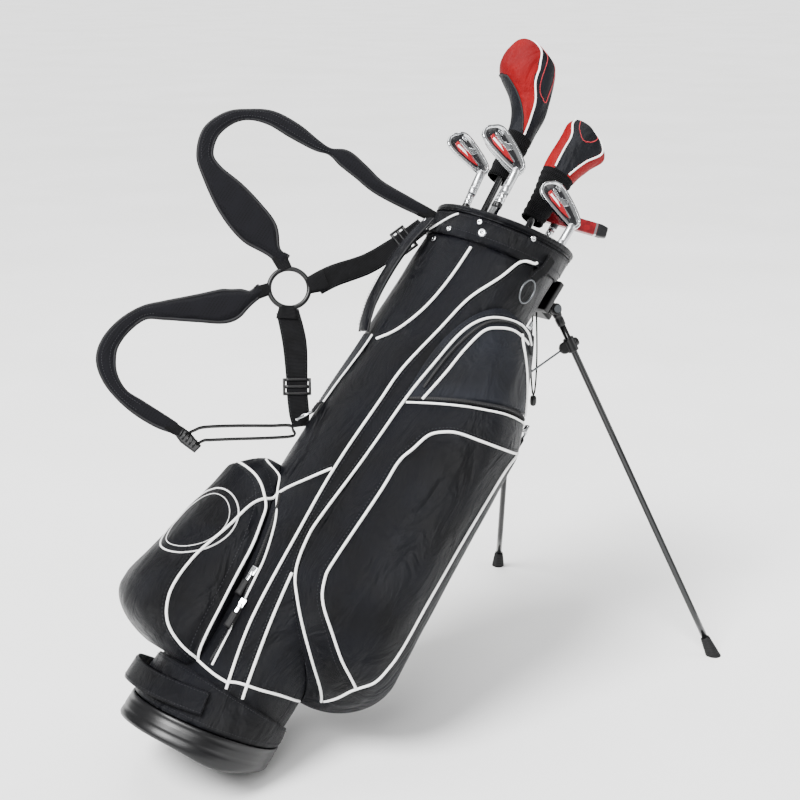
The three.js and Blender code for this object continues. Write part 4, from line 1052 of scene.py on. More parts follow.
zip_line("valuables_zip", [front_point(b, h, 0.4) for h, b in arch_line],
         [at(b, 1, 0) for h, b in arch_line], 2.2)
print("zips made")

# %% [markdown]
# ## A plain ring on the ball pocket
# The pocket wears a round embroidered badge on the real bag. A plain stitched ring stands in its
# place: two rows of satin stitch laid on the cloth, with nothing inside them.

# %% Embroidered ring
def pocket_ring(name, radius, width, thread):
    line = []
    for k in range(90):
        turn = 2 * math.pi * k / 90
        line.append((252 + radius * math.cos(turn), 160 + math.degrees(radius * 0.9 * math.sin(turn) / 155)))
    points = [front_point(b, h, 0.2) for h, b in line]
    stitches(name, points, [at(b, 1, 0) for h, b in line], thread=thread, spacing=1.6, length=1.8,
             width=width,
             closed=True)


pocket_ring("ball_ring_outer", 56, 3.0, thread_white)
pocket_ring("ball_ring_inner", 46, 1.6, thread_white)
print("ring stitched")
# %% [markdown]
# ## Straps and bands
# Webbing is flat and narrow, so it is modelled directly: a thin section with rounded edges swept
# along the strap's route. The route's stops hold a place and a width, so a strap can turn edge-on.

# %% Straps
def band_section(width, thickness, crown=0.0):
    half, edge = thickness / 2, width / 2
    points = []
    for k in range(13):
        share = k / 12 * 2 - 1
        points.append((-edge * share, half * (1 - abs(share) ** 8) + crown * (1 - share * share)))
    for k in range(1, 12):
        share = k / 12 * 2 - 1
        points.append((edge * share, -half * (1 - abs(share) ** 8) - crown * (1 - share * share)))
    return points


def band_route(stops, count):
    return smooth([(p.x, p.y, p.z, w) for p, w in stops], count)


def strap(name, stops, thickness, normal, body="bag", count=60, crown=0.0, materials=(webbing,),
          replaces=(), edge=2.6,
          thread=None):
    """A strap through stops of (place, width), sewn near both edges."""
    route = band_route(stops, count)
    path = [Vector(r[:3]) for r in route]
    normals = [normal(p) if callable(normal) else normal for p in path]
    rings = section_rings(path, normals, lambda share: band_section(route[round(share * (count - 1))][3],
                                                                    thickness, crown))
    piece = finish(loft(name, rings), body, list(materials), list(replaces))
    if edge:
        for label, sign in (("left", -1), ("right", 1)):
            points, outward = [], []
            for i in range(1, count - 1):
                tangent = (path[i + 1] - path[i - 1]).normalized()
                side = tangent.cross(normals[i]).normalized()
                inset = max(0.5, route[i][3] / 2 - edge)
                raised = thickness / 2 + crown * 0.2 + 0.05
                points.append(path[i] + side * sign * inset + normals[i] * raised)
                outward.append(normals[i])
            stitches(f"{name}_stitches_{label}", points, outward, body, thread, spacing=4.4, length=3.0,
                     width=0.8)
    return piece


FACE = at(FACE_BEARING, 1, 0)


def outward_of(place):
    return Vector((place.x, place.y, 0)).normalized()


collar_stops = [(out(194, 636), 33), (out(179, 662), 33), (out(148, 703), 31), (out(129, 743), 28),
                (out(119, 770), 26), (out(109, 798), 25)]
hip_stops = [(out(208, 580), 33), (out(175, 546), 35), (out(145, 504), 31), (out(134, 487), 30),
             (out(115, 462), 29), (out(103, 447), 23)]
strap("webbing_to_collar_band", collar_stops, 2.2, FACE, replaces=["webbing_to_collar"])
strap("webbing_to_hip_band", hip_stops, 2.2, FACE, replaces=["webbing_to_hip"])
ring_folds = [("ring_fold_collar", (186, 650, 33), (203, 628, 25)),
              ("ring_fold_hip", (202, 570, 33), (211.5, 587, 25)),
              ("ring_fold_upper", (263, 643, 23), (242, 630.5, 20)),
              ("ring_fold_lower", (260, 578, 20), (247, 594.5, 18)),
              ("pad_root_upper", (126, 816, 20), (101.5, 818, 18)),
              ("pad_root_lower", (264, 349, 18), (238, 350, 15))]
for name, near, far in ring_folds:
    half_way = tuple((a + b) / 2 for a, b in zip(near, far))
    strap(name, [(out(r, h), w) for r, h, w in (near, half_way, far)], 7.6, FACE, count=12, edge=0)
tail_points = [out(234, 350), out(227, 362), out(217, 374), out(181, 399), out(140, 425), out(117, 440),
               out(110, 437), out(105, 430), out(134, 408), out(171, 383), out(200, 363), out(208, 357),
               out(214, 346)]
strap("tail_strap", [(p, 2.6) for p in tail_points], 19, FACE, count=80, replaces=["tail_webbing"], edge=0)
strap("d_ring_strap", [(at(150, 100.6, 487), 24), (at(150, 101.4, 478), 24), (at(150, 101.6, 469), 22)], 2.2,
      outward_of, count=16, replaces=["d_ring_tab"])
strap("towel_strap_band", [(at(-86, 105, 834), 20), (at(-87, 105, 812), 19), (at(-89, 102.4, 801), 18),
                           (at(-90, 101.6, 791), 18)], 2, outward_of, count=24, replaces=["towel_strap"])
grab_stops = [(222, 106.5, 52), (200, 113, 44), (180, 122, 40), (160, 126, 42), (140, 122, 46),
              (122, 113, 50), (104, 106.5, 54)]
strap("grab_loop_band", [(at(b, r + 1.2, h), 33.5) for b, r, h in grab_stops], 2.6, outward_of, count=70,
      replaces=["grab_loop"], materials=[black_cloth], edge=4)
handle_strip = [(604, 161), (580, 160), (550, 157), (520, 153), (488, 150)]
strap("handle_strip", [(at(b, 99.6, h), 26) for h, b in handle_strip], 1.6, outward_of, count=40,
      materials=[grey_cloth])
for label, side in (("left", 8), ("right", -8)):
    strip = smooth([(h, b + side) for h, b in handle_strip], 40)
    piping(f"handle_strip_piping_{label}", [at(b, 99.4, h) for h, b in strip],
           [at(b, 1, 0) for h, b in strip], radius=1.5)
print("straps sewn")

# %% [markdown]
# ## Shoulder pads
# A shoulder pad is foam between two faces of spacer mesh, bound at its edge. The foam pushes its
# cover out, so each pad starts thin, is remeshed evenly, and a short cloth simulation with inner
# pressure swells it. Ribs and bindings come after, because a remesh would wipe them out.

# %% Swelling cloth
def swell_cloth(piece, voxel_mm, cap_mm, pressure=4.0, frames=20):
    """Remeshes a piece, blows it up a little as cloth, and holds every point within the cap."""
    remesh = piece.modifiers.new("remesh", "REMESH")
    remesh.mode = "VOXEL"
    remesh.voxel_size = voxel_mm / 1000
    graph = bpy.context.evaluated_depsgraph_get()
    mesh = bpy.data.meshes.new_from_object(piece.evaluated_get(graph), depsgraph=graph)
    piece.modifiers.clear()
    piece.data = mesh
    start = [v.co.copy() for v in mesh.vertices]
    cloth = piece.modifiers.new("cloth", "CLOTH")
    cloth.settings.use_pressure = True
    cloth.settings.uniform_pressure_force = pressure
    cloth.settings.effector_weights.gravity = 0
    cloth.settings.quality = 5
    cloth.collision_settings.use_collision = False
    scene = bpy.context.scene
    for frame_number in range(1, frames + 1):
        scene.frame_set(frame_number)
    graph = bpy.context.evaluated_depsgraph_get()
    blown = bpy.data.meshes.new_from_object(piece.evaluated_get(graph), depsgraph=graph)
    piece.modifiers.clear()
    for vertex, old in zip(blown.vertices, start):
        move = vertex.co - old
        if move.length > cap_mm / 1000:
            vertex.co = old + move.normalized() * cap_mm / 1000
    piece.data = blown
    scene.frame_set(1)
    return piece


def shoulder_pad(name, stops, node_name, rib_from, rib_to):
    count = 150
    route = band_route([(out(r, h), w) for r, h, w in stops], count)
    path = [Vector(r[:3]) for r in route]
    normals = [FACE] * count
    rings = section_rings(path, normals, lambda share: band_section(route[round(share * (count - 1))][3],
                                                                    5.5, 1.2))
    pad = swell_cloth(loft(name, rings), 2.6, 2.2)
    finish(pad, "bag", [pad_finish], [node_name], level=1)
    for label, sign in (("left", -1), ("right", 1)):
        points = []
        for i in range(count):
            tangent = (path[min(i + 1, count - 1)] - path[max(i - 1, 0)]).normalized()
            side = tangent.cross(FACE).normalized()
            points.append(path[i] + side * sign * (route[i][3] / 2 - 3.0))
        piping(f"{name}_binding_{label}", points, normals, radius=2.9, vinyl=binding)
    rib_path, rib_widths = [], []
    for i in range(round(rib_from * count), round(rib_to * count)):
        rib_path.append(path[i])
        rib_widths.append(route[i][3])
    last = len(rib_path) - 1
    for label, offset in (("upper", -0.2), ("lower", 0.2)):
        shifted = []
        for i, point in enumerate(rib_path):
            tangent = (rib_path[min(i + 1, last)] - rib_path[max(i - 1, 0)]).normalized()
            side = tangent.cross(FACE).normalized()
            shifted.append(point + side * rib_widths[i] * offset + FACE * 4.6)
        stitches(f"{name}_rib_{label}", shifted, [FACE] * len(shifted), thread=thread_grey, spacing=4,
                 length=3, width=0.9)
    return pad


# black and open, almost without shine
pad_finish = air_mesh("spacer_mesh_grey", "#020203", "#0c0c10", 3.0)
# flat black edging tape
binding = grained("woven_binding_black", "#050507", "#0c0c10", 0.6, 1.2, 0.15, Specular_IOR_Level=0.3)
upper_stops = [(250, 640, 25), (270, 644, 22), (300, 657, 54), (332, 667, 60), (370, 681, 53),
               (410, 697, 33), (433, 714, 26), (444, 747, 26), (434, 780, 22), (413, 801, 18),
               (382, 815, 24), (343, 817, 26), (305, 816, 18), (283, 819, 12), (260, 822, 28),
               (230, 818, 27), (196, 812, 24), (151, 814, 22), (110, 818, 18)]
lower_stops = [(256, 588, 20), (262, 571, 20), (272, 558, 36), (287, 538, 52), (319, 513, 42),
               (354, 487, 30), (378, 467, 22), (391, 437, 24), (394, 406, 27), (386, 382, 29),
               (367, 363, 24), (340, 351, 20), (309, 348, 24), (276, 348, 23), (250, 350, 16)]
shoulder_pad("shoulder_pad_upper_cloth", upper_stops, "shoulder_pad_upper", 0.1, 0.72)
shoulder_pad("shoulder_pad_lower_cloth", lower_stops, "shoulder_pad_lower", 0.1, 0.85)
print("shoulder pads swollen")

# %% [markdown]
# ## Carry handle
# The handle is a foam grip in cloth, riveted at both ends. It is swollen like the pads, then edged
# with bindings and sewn with a row of stitches along each side.

# %% Handle
HANDLE_BEARING = 160
HANDLE_OUT = at(HANDLE_BEARING, 1, 0)
HANDLE_SIDE = Vector((0, 0, 1)).cross(HANDLE_OUT)
handle_stops = [(604, 106), (622, 113), (655, 121), (700, 124), (745, 122), (778, 116), (797, 113)]
handle_line = smooth(handle_stops, 60)
handle_path = [at(HANDLE_BEARING, r, h) for h, r in handle_line]
handle_normals = [HANDLE_OUT] * 60


def handle_section(share):
    plump = 0.42 + 0.5 * max(0.0, math.sin(math.pi * share)) ** 0.5
    turns = [2 * math.pi * k / 20 for k in range(20)]
    return [(14.6 * math.cos(t), 5.6 * plump * math.sin(t)) for t in turns]


handle = swell_cloth(loft("carry_handle_grip", section_rings(handle_path, handle_normals, handle_section)),
                     2.2, 1.4)
# the bag cloth again, for a piece without a UV map
handle_cloth = woven("coated_polyamide_handle", "#010103", "#05060c", 0.36, 1.6, 0.2, 0.02, has_uv=False)
finish(handle, "bag", [handle_cloth], ["carry_handle"], level=1)
for label, sign in (("left", -1), ("right", 1)):
    edge = [p + HANDLE_SIDE * sign * 14.8 for p in handle_path]
    piping(f"handle_binding_{label}", edge, handle_normals, radius=1.7, vinyl=binding)
    seam_path = [p + HANDLE_SIDE * sign * 9.5 + HANDLE_OUT * 5.6 for p in handle_path[5:-5]]
    stitches(f"handle_stitches_{label}", seam_path, handle_normals[5:-5], spacing=4.6, length=3.2, width=0.9)
print("handle made")

# %% [markdown]
# ## Turned and rounded hard parts
# Rivets, pins, legs, feet and shafts are all turned shapes: one profile of distance and radius,
# spun about a line. Moulded blocks are rounded copies of the frame's solids.

# %% Turning
def turned_rings(start, direction, profile, sides):
    aside = direction.orthogonal().normalized()
    other = direction.cross(aside).normalized()
    return [[start + direction * along + aside * a + other * b
             for a, b in round_section(max(radius, 0.05), sides)]
            for along, radius in profile]


def turned(name, start, towards, profile, sides=32, material_at=None):
    return loft(name, turned_rings(start, (towards - start).normalized(), profile, sides),
                material_at=material_at)


def paint_where(piece, test, index):
    """Gives faces another finish where test(place in the bag) is true."""
    for polygon in piece.data.polygons:
        if test(from_model(polygon.center)):
            polygon.material_index = index


def from_model(place):
    p = (place - BASE) * 1000
    s, c = math.sin(LEAN), math.cos(LEAN)
    return Vector((p.x * c - p.z * s, p.y, p.x * s + p.z * c))


def rivet(name, place, outward, radius, body="bag", material=None):
    profile = [(-1.2, radius * 0.9), (0.3, radius), (0.9, radius * 0.96), (1.3, radius * 0.7),
               (1.5, radius * 0.42), (1.1, radius * 0.36), (0.8, 0.05)]
    finish(turned(name, place, place + outward, profile, 24), body, [material or chrome])


rivet("collar_rivet_handle", at(170, 98.6, 772), at(170, 1, 0), 4.2)
rivet("collar_rivet_middle", at(205, 102.9, 815), at(205, 1, 0), 4.2)
rivet("collar_eyelet", at(211.5, 102.6, 802), at(211.5, 1, 0), 6.2)
rivet("collar_rivet_right", at(249, 102.9, 836), at(249, 1, 0), 4.2)
rivet("handle_rivet_low", at(165, 99, 592), at(165, 1, 0), 5.0)
rivet("handle_rivet_high", at(160, 118.5, 791), at(160, 1, 0), 4.0)
rivet("collar_rivet_left", at(183, 102.6, 790), at(183, 1, 0), 4.2)
print("rivets set")

# %% Rings
def ring_piece(name, centre, u, v, radius_u, radius_v, wire, body, material, replaces):
    normal = u.cross(v).normalized()
    rings = []
    for k in range(64):
        turn = 2 * math.pi * k / 64
        point = centre + u * radius_u * math.cos(turn) + v * radius_v * math.sin(turn)
        aside = (u * radius_v * math.cos(turn) + v * radius_u * math.sin(turn)).normalized()
        rings.append([point + aside * a + normal * b for a, b in round_section(wire, 14)])
    return finish(loft(name, rings, looped=True), body, [material], [replaces])


SIDE = at(SIDE_BEARING, 1, 0)
UP = Vector((0, 0, 1))
ring_piece("harness_hub_ring", out(224, 610), SIDE, UP, 29, 29, 3.6, "bag", moulded_plastic, "harness_ring")
ring_piece("towel_ring_wire", at(-90, 103.4, 770.5), Vector((1, 0, 0)), UP, 13, 18, 1.25, "towel_ring_body",
           dark_wire, "towel_ring")
d_side = at(240, 1, 0)
d_down = at(150, 0.55, -1).normalized()
d_top = at(150, 104.5, 467)
d_points = [d_top + d_side * 15 * math.cos(math.pi * k / 24) + d_down * (4 + 17 * math.sin(math.pi * k / 24))
            for k in range(25)]
d_points += [d_top + d_side * x for x in (-14.4, -13, -6, 0, 6, 13, 14.4)]
d_normal = d_side.cross(d_down).normalized()
d_rings = []
for i, point in enumerate(d_points):
    tangent = (d_points[(i + 1) % len(d_points)] - d_points[i - 1]).normalized()
    aside = tangent.cross(d_normal).normalized()
    d_rings.append([point + aside * a + d_normal * b for a, b in round_section(1.9, 12)])
finish(loft("d_ring_steel", d_rings, looped=True), "d_ring_body", [chrome], ["d_ring"])
print("rings made")

# %% Adjusters and zip pulls
def tri_glide(name, centre, along, width, length, body, node_name):
    side = along.cross(FACE).normalized()
    bm = bmesh.new()

    def bar(a0, b0, a1, b1, half_wide, half_thick):
        start = centre + side * a0 + along * b0
        end = centre + side * a1 + along * b1
        path = [start + (end - start) * k / 6 for k in range(7)]
        rings = section_rings(path, [FACE] * 7, lambda share: [
            (half_wide * math.cos(t) * abs(math.cos(t)) ** -0.4 if abs(math.cos(t)) > 0.01 else 0,
             half_thick * math.sin(t) * abs(math.sin(t)) ** -0.4 if abs(math.sin(t)) > 0.01 else 0)
            for t in [2 * math.pi * k / 16 for k in range(16)]])
        loft_into(bm, rings)

    w, h = width / 2 - 1.6, length / 2 - 1.8
    bar(-w, -h - 1.6, -w, h + 1.6, 1.9, 4)
    bar(w, -h - 1.6, w, h + 1.6, 1.9, 4)
    for place in (-h, h):
        bar(-w, place, w, place, 2.2, 3.8)
    bar(-w, 0, w, 0, 2.4, 3.4)
    bmesh.ops.recalc_face_normals(bm, faces=bm.faces)
    finish(new_object(name, bm), body, [moulded_plastic], [node_name])


tri_glide("tri_glide_collar_frame", out(121.5, 763.5), (out(119, 770) - out(129, 743)).normalized(), 38, 24,
          "collar_adjuster", "tri_glide_collar")
tri_glide("tri_glide_hip_frame", out(138, 493), (out(134, 487) - out(145, 504)).normalized(), 40, 24,
          "hip_adjuster", "tri_glide_hip")
ladder = soft_copy("ladder_lock_moulding", "ladder_lock", 0.8, 4)
finish(ladder, "bag", [moulded_plastic], ["ladder_lock"])
for k in range(5):
    bar_at = out(240 - 6 * k, 348.6 - 0.7 * k) + FACE * 3.2
    bar_profile = [(0, 0.8), (0.4, 1.3), (12.6, 1.3), (13, 0.8)]
    lock_bar = turned(f"ladder_lock_bar_{k}", bar_at - UP * 6.5, bar_at + UP, bar_profile, 14)
    finish(lock_bar, "bag", [moulded_plastic])

pulls = [("ball_slider_upper", "ball_zip_upper", at(198, 98.3, 232), at(198, 1, 0), -UP),
         ("ball_slider_lower", "ball_zip_lower", at(204.5, 98.3, 188), at(204.5, 1, 0), -UP),
         ("valuables_slider", "valuables_zip", at(-47, 100, 752), at(-47, 1, 0), at(43, 1, 0)),
         ("apparel_slider", "apparel_zip", at(-50, 172, 612), at(-22, 1, 0), -UP)]
for node_name, body, centre, outward, pull in pulls:
    slider = soft_copy(node_name + "_metal", node_name, 0.55, 2, 0.15)
    finish(slider, body, [chrome, soft_rubber], [node_name])
    paint_where(slider, lambda p: (p - centre).dot(pull) > 14.5, 1)
    side = outward.cross(pull).normalized()
    grip_path = [centre + pull * (15 + 2.2 * k) + outward * 4.8 for k in range(11)]
    turns = [2 * math.pi * k / 18 for k in range(18)]
    grip = section_rings(grip_path, [outward] * 11, lambda share: [
        ((3.4 + 2.4 * share) * math.cos(t), 2.5 * math.sin(t)) for t in turns])
    finish(loft(node_name + "_pull", grip), body, [soft_rubber])
print("adjusters and pulls made")
# %% [markdown]
# ## The stand
# Two painted tubes fold against the bag. Each turns on a knuckle in the bracket, ends in a ribbed
# rubber foot, and wears a moulded clamp that a wire stay pushes on.

# %% Stand bracket, legs and feet
def ground_place(x, y, height):
    p = Vector((x, y, height - 50))
    s, c = math.sin(LEAN), math.cos(LEAN)
    return Vector((p.x * c - p.z * s, p.y, p.x * s + p.z * c))


HUB = Vector((131, 40, 815))
far_foot = ground_place(826, 243, 0)
leg_way = (far_foot - HUB).normalized()
hinge = leg_way.cross(-UP).normalized()
swing = leg_way.cross(hinge)
leg_length = (far_foot - HUB).length

bracket = soft_copy("stand_bracket_moulding", "stand_bracket", 1.1, 5, 0.3)
finish(bracket, "bag", [moulded_plastic], ["stand_bracket"])
for index, (y, z) in enumerate(((-38, 806), (-38, 842), (38, 806), (38, 842))):
    rivet(f"bracket_rivet_{index}", Vector((114.6, y, z)), Vector((1, 0, 0)), 4.2)

foot_profile = [(0.3, 0.1), (0.3, 6.4), (1, 7.0)]
for k in range(7):
    foot_profile += [(3 + k * 4, 7.2 + 0.45 * k), (4.2 + k * 4, 7.8 + 0.45 * k),
                     (5.6 + k * 4, 7.8 + 0.45 * k), (6.4 + k * 4, 7.1 + 0.45 * k)]
foot_profile += [(33, 10.8), (37, 11.5), (42, 11.4), (44, 9.5), (44, 0.1)]


def mirrored(place, side):
    return Vector((place.x, place.y * side, place.z))


for label, side in (("far", 1), ("near", -1)):
    hub, way = mirrored(HUB, side), mirrored(leg_way, side)
    axis, away = mirrored(hinge, side), mirrored(swing, side)
    foot_start = leg_length - 34
    bm = bmesh.new()
    loft_into(bm, turned_rings(hub - axis * 7, axis, [(0, 3.9), (0, 8.4), (0.6, 9), (6.2, 9), (6.6, 8.5),
                                                      (7.4, 8.5), (7.8, 9), (13.4, 9), (14, 8.4),
                                                      (14, 3.9)], 40),
              looped=True)
    loft_into(bm, turned_rings(hub, way, [(4, 4.4), (6, 7), (12, 6.9), (13, 6.2), (15, 6.2), (16, 6.8),
                                          (24, 6.5), (27, 6.3), (28, 5.2)], 32))
    bmesh.ops.recalc_face_normals(bm, faces=bm.faces)
    finish(new_object(f"leg_knuckle_{label}", bm), f"{label}_leg", [moulded_plastic])
    tube_profile_mm = [(20, 5)] + [(20 + (foot_start - 20) * k / 12, 5) for k in range(1, 13)]
    leg = turned(f"leg_tube_{label}", hub, hub + way, tube_profile_mm, 28)
    finish(leg, f"{label}_leg", [leg_tube], [f"leg_{label}"])
    bm = bmesh.new()
    loft_into(bm, turned_rings(hub + way * foot_start, way, foot_profile, 36))
    bmesh.ops.recalc_face_normals(bm, faces=bm.faces)
    cut_at_ground(bm)
    finish(new_object(f"foot_rubber_{label}", bm), f"{label}_leg", [soft_rubber], [f"foot_{label}"])
    clamp_piece = soft_copy(f"stay_clamp_moulding_{label}", f"stay_clamp_{label}", 0.9, 4, 0.3)
    finish(clamp_piece, f"{label}_leg", [moulded_plastic], [f"stay_clamp_{label}"])
    boss = hub + way * 60 + away * 4
    finish(turned(f"clamp_boss_{label}", boss, boss + away, [(0, 6.5), (7, 6.8), (8.4, 6.2), (8.8, 4),
                                                             (8.4, 0.1)], 28),
           f"{label}_leg", [moulded_plastic])
    rivet(f"clamp_rivet_{label}", boss + away * 8.6, away, 2.6, f"{label}_leg")
print("stand made")

# %% [markdown]
# ## Club shafts
# Steel shafts are drawn down in steps of about 40 mm, which catch the light as fine rings. A black
# ferrule hides the joint with the head, and a ribbed rubber grip covers the far end. The two woods
# have smooth graphite shafts.

# %% Shafts
CLUB_FLOOR = 33.5


class ClubLine:
    def __init__(self, butt, rim_spot):
        self.low = across(butt[0], butt[1], CLUB_FLOOR)
        high = across(rim_spot[0], rim_spot[1], 850)
        self.way = (high - self.low).normalized()

    def at_height(self, height):
        return self.low + self.way * ((height - CLUB_FLOOR) / self.way.z)


def shaft(name, line, top_height, butt_radius, tip_radius, ferrule, stepped, tube_finish, body):
    length = (line.at_height(top_height) - line.low).length
    profile = [(0, 0.1), (0, 10.6), (2, 12.2), (6, 12.2)]
    for k in range(30):
        along = 8 + 8.5 * k
        radius = mix(12.1, 9.3, along / 265)
        profile += [(along, radius), (along + 1.2, radius - 0.5), (along + 2.4, radius)]
    profile += [(265, 9.1), (265.6, butt_radius)]
    joint = length - 26
    if stepped:
        steps = int((joint - 270) // 42)
        for k in range(steps):
            radius = mix(butt_radius, tip_radius, (k + 1) / steps)
            profile += [(272 + 42 * k, profile[-1][1]), (273 + 42 * k, radius)]
    profile += [(joint - 0.4, tip_radius), (joint, ferrule - 0.5), (joint + 3, ferrule),
                (joint + 8, ferrule), (joint + 8.6, ferrule - 0.35), (joint + 9.6, ferrule - 0.35),
                (joint + 10.2, ferrule), (joint + 15, ferrule), (joint + 15.6, ferrule - 0.35),
                (joint + 16.6, ferrule - 0.35), (joint + 17.2, ferrule), (length - 0.2, ferrule),
                (length, 0.1)]
    piece = turned(name + "_shaft_turned", line.low, line.low + line.way, profile, 24)
    finish(piece, body, [grip_rubber, tube_finish, moulded_plastic], [name + "_shaft"])
    for polygon in piece.data.polygons:
        along = (from_model(polygon.center) - line.low).dot(line.way)
        polygon.material_index = 0 if along < 265.2 else (2 if joint - 0.3 < along < joint + 8.5 else 1)
    return piece


# %% [markdown]
# ## Iron heads
# A cavity-back iron is a forged blade with a raised rim round a sunk back. Its outline is a rule of
# how tall the blade is along its length. Loops of that outline, each set in a little and moved in
# depth, make the face, the rim, the wall of the cavity and its painted inset.

# %% Iron heads
BLADE = [(-5, 12, 8), (4, 24, 11), (18, 31, 13), (38, 38, 13), (56, 43, 12), (68, 42, 11), (75, 33, 9),
         (79, 16, 6)]


def blade_size(along):
    for (a0, h0, d0), (a1, h1, d1) in zip(BLADE, BLADE[1:]):
        if along <= a1:
            share = clamp((along - a0) / (a1 - a0))
            return mix(h0, h1, share), mix(d0, d1, share)
    return BLADE[-1][1:]


def blade_outline():
    """(along, rise, share of rise) round the blade, from the heel along the sole and back."""
    points = []
    spots = [a for a, _, _, in smooth([(a, h, d) for a, h, d in BLADE], 34)]
    for along in spots:
        height = blade_size(along)[0]
        points.append((along, 10 + 0.58 * height, 1.0))
    points.append((81, 10 + 0.3 * 16, 0.75))
    points.append((81.6, 10, 0.5))
    points.append((81, 10 - 0.2 * 16, 0.25))
    for along in reversed(spots):
        height = blade_size(along)[0]
        points.append((along, 10 - 0.42 * height, 0.0))
    for _ in range(2):
        points = [tuple((p[k] + 2 * q[k] + r[k]) / 4 for k in range(3))
                  for p, q, r in zip(points[-1:] + points[:-1], points, points[1:] + points[:1])]
    return points


def iron_head(name, line, heel_height, toe_turn, loft_turn, size):
    way = line.way
    heel = line.at_height(heel_height)
    left = way.cross(FACE).normalized()
    if left.dot(SIDE) < 0:
        left = -left
    toe = left * math.cos(toe_turn) + way * math.sin(toe_turn)
    flat_sole = toe.cross(FACE).normalized()
    if flat_sole.dot(way) < 0:
        flat_sole = -flat_sole
    sole = Matrix.Rotation(loft_turn, 3, toe) @ flat_sole
    if sole.dot(FACE) > 0:
        sole = Matrix.Rotation(-loft_turn, 3, toe) @ flat_sole
    back = toe.cross(sole).normalized()
    if back.dot(FACE) < 0:
        back = -back

    def place(along, rise, depth):
        return heel + (toe * along + sole * rise + back * depth) * size

    outline = blade_outline()

    def loop(inset, depth_at):
        ring = []
        for along, rise, share in outline:
            centre = (clamp(along, 16, 60), 10 + 0.08 * blade_size(along)[0])
            gap = math.hypot(along - centre[0], rise - centre[1])
            k = min(0.9, inset / gap) if gap > 0.01 else 0
            ring.append(place(mix(along, centre[0], k), mix(rise, centre[1], k), depth_at(along, share)))
        return ring

    def rim_depth(along, share):
        deep = blade_size(along)[1]
        return mix(2.6, 0.74 * deep, min(1, share / 0.86)) - (deep * 0.1 if share > 0.95 else 0)

    rings = [loop(60, lambda a, s: -2.8), loop(8, lambda a, s: -2.8), loop(1.0, lambda a, s: -2.7),
             loop(0.2, lambda a, s: -2.0), loop(0, lambda a, s: -0.5),
             loop(0, lambda a, s: rim_depth(a, s) * 0.7),
             loop(0.9, lambda a, s: rim_depth(a, s)), loop(3.6, lambda a, s: rim_depth(a, s) + 0.1),
             loop(4.2, lambda a, s: rim_depth(a, s) - 0.4), loop(5.0, lambda a, s: 2.3),
             loop(6.0, lambda a, s: 1.4),
             loop(60, lambda a, s: 1.4)]
    bm = bmesh.new()
    loft_into(bm, rings)
    hosel = [(0, 4.5), (0, 6.1), (0.6, 6.4), (10, 6.4), (10.6, 6.1), (11.4, 6.1), (12, 6.4), (34, 6.4),
             (39, 6.2), (42, 5), (43, 2)]
    loft_into(bm, turned_rings(heel - way * 34 * size, way, [(a * size, r) for a, r in hosel], 32))
    bmesh.ops.recalc_face_normals(bm, faces=bm.faces)
    head = finish(new_object(name + "_head_forged", bm), name, [satin_chrome, satin_chrome, black_paint,
                                                                satin_chrome, chrome],
                  [name + "_head"])
    inlays = [("red", red_paint, [(14, 9), (30, 4), (52, 1), (65, 5), (66, 13), (50, 12), (40, 15),
                                  (26, 12)], 2.3),
              ("white", white_paint, [(36, 7), (60, 5), (61, 9), (46, 10.5)], 2.7),
              ("bridge", chrome, [(34, 14), (49, 13), (66, 16.5), (66, 20), (50, 17.5), (40, 25), (31, 23)],
               3.0),
              ("band", chrome, [(56, 24), (66, 23), (68, 27), (58, 28)], 2.8)]
    for label, material, corners, top in inlays:
        dense = [tuple(mix(p[k], q[k], t) for k in (0, 1)) for p, q in zip(corners, corners[1:] + corners[:1])
                 for t in (0.0, 0.34, 0.67)]
        middle = (sum(c[0] for c in dense) / len(dense), sum(c[1] for c in dense) / len(dense))
        sheets = [[place(mix(a, middle[0], inset), mix(b, middle[1], inset), depth) for a, b in dense]
                  for inset, depth in ((0, 1.0), (0, top - 0.3), (0.05, top))]
        finish(loft(f"{name}_inlay_{label}", sheets), name, [material])
    per_ring = len(outline)
    for polygon in head.data.polygons:
        row = polygon.index // per_ring
        if 3 < row < 11:
            polygon.material_index = {9: 2, 10: 2}.get(row, 4)
    return head


irons = [("long_iron", (30, 10), (-70, 12), 906, 24, 20, 0.93),
         ("middle_iron", (30, 68), (-30, 68), 916, 26, 24, 1.0),
         ("short_iron", (-30, 42), (-34, 37), 924, 24, 14, 0.92),
         ("wedge", (72, 35), (77, 33), 902, 24, 24, 0.98)]
for name, butt, rim_spot, heel_height, toe_turn, loft_turn, size in irons:
    line = ClubLine(butt, rim_spot)
    shaft(name, line, heel_height - 34 * size * line.way.z - 0.3, 7.2, 4.8, 5.9, True, chrome, name)
    iron_head(name, line, heel_height, math.radians(toe_turn), math.radians(loft_turn), size)
print("irons made")

# %% Putter
putter_line = ClubLine((58, -44), (58, -53))
shaft("putter", putter_line, 918, 7.2, 4.8, 5.9, True, chrome, "putter")
putter = soft_copy("putter_blade", "putter_head", 0.7, 3, 0.2)
finish(putter, "putter", [putter_red, black_paint, chrome], ["putter_head"])
putter_right = (across(1, 0, 0) + putter_line.way * 0.3).normalized()
putter_top = putter_line.at_height(936)
putter_up = (putter_line.way - putter_right * putter_line.way.dot(putter_right)).normalized()
paint_where(putter, lambda p: (p - putter_top).dot(putter_right) > 62, 1)
paint_where(putter, lambda p: (p - putter_top).dot(putter_up) < -7.4, 1)
paint_where(putter, lambda p: abs((p - putter_top).dot(putter_right) - 60) < 1.6, 2)
paint_where(putter, lambda p: (p - putter_line.at_height(926)).dot(putter_line.way) < -4.5, 2)
print("putter made")

# %% [markdown]
# ## Headcovers
# A headcover is a padded hood of red and charcoal panels over a knitted sock. The hood is lofted
# through its measured stations, its finish changes with how far round a face is, and white piping
# hides each seam. Corduroy-like gathers run round the sock, where its elastic draws it in.

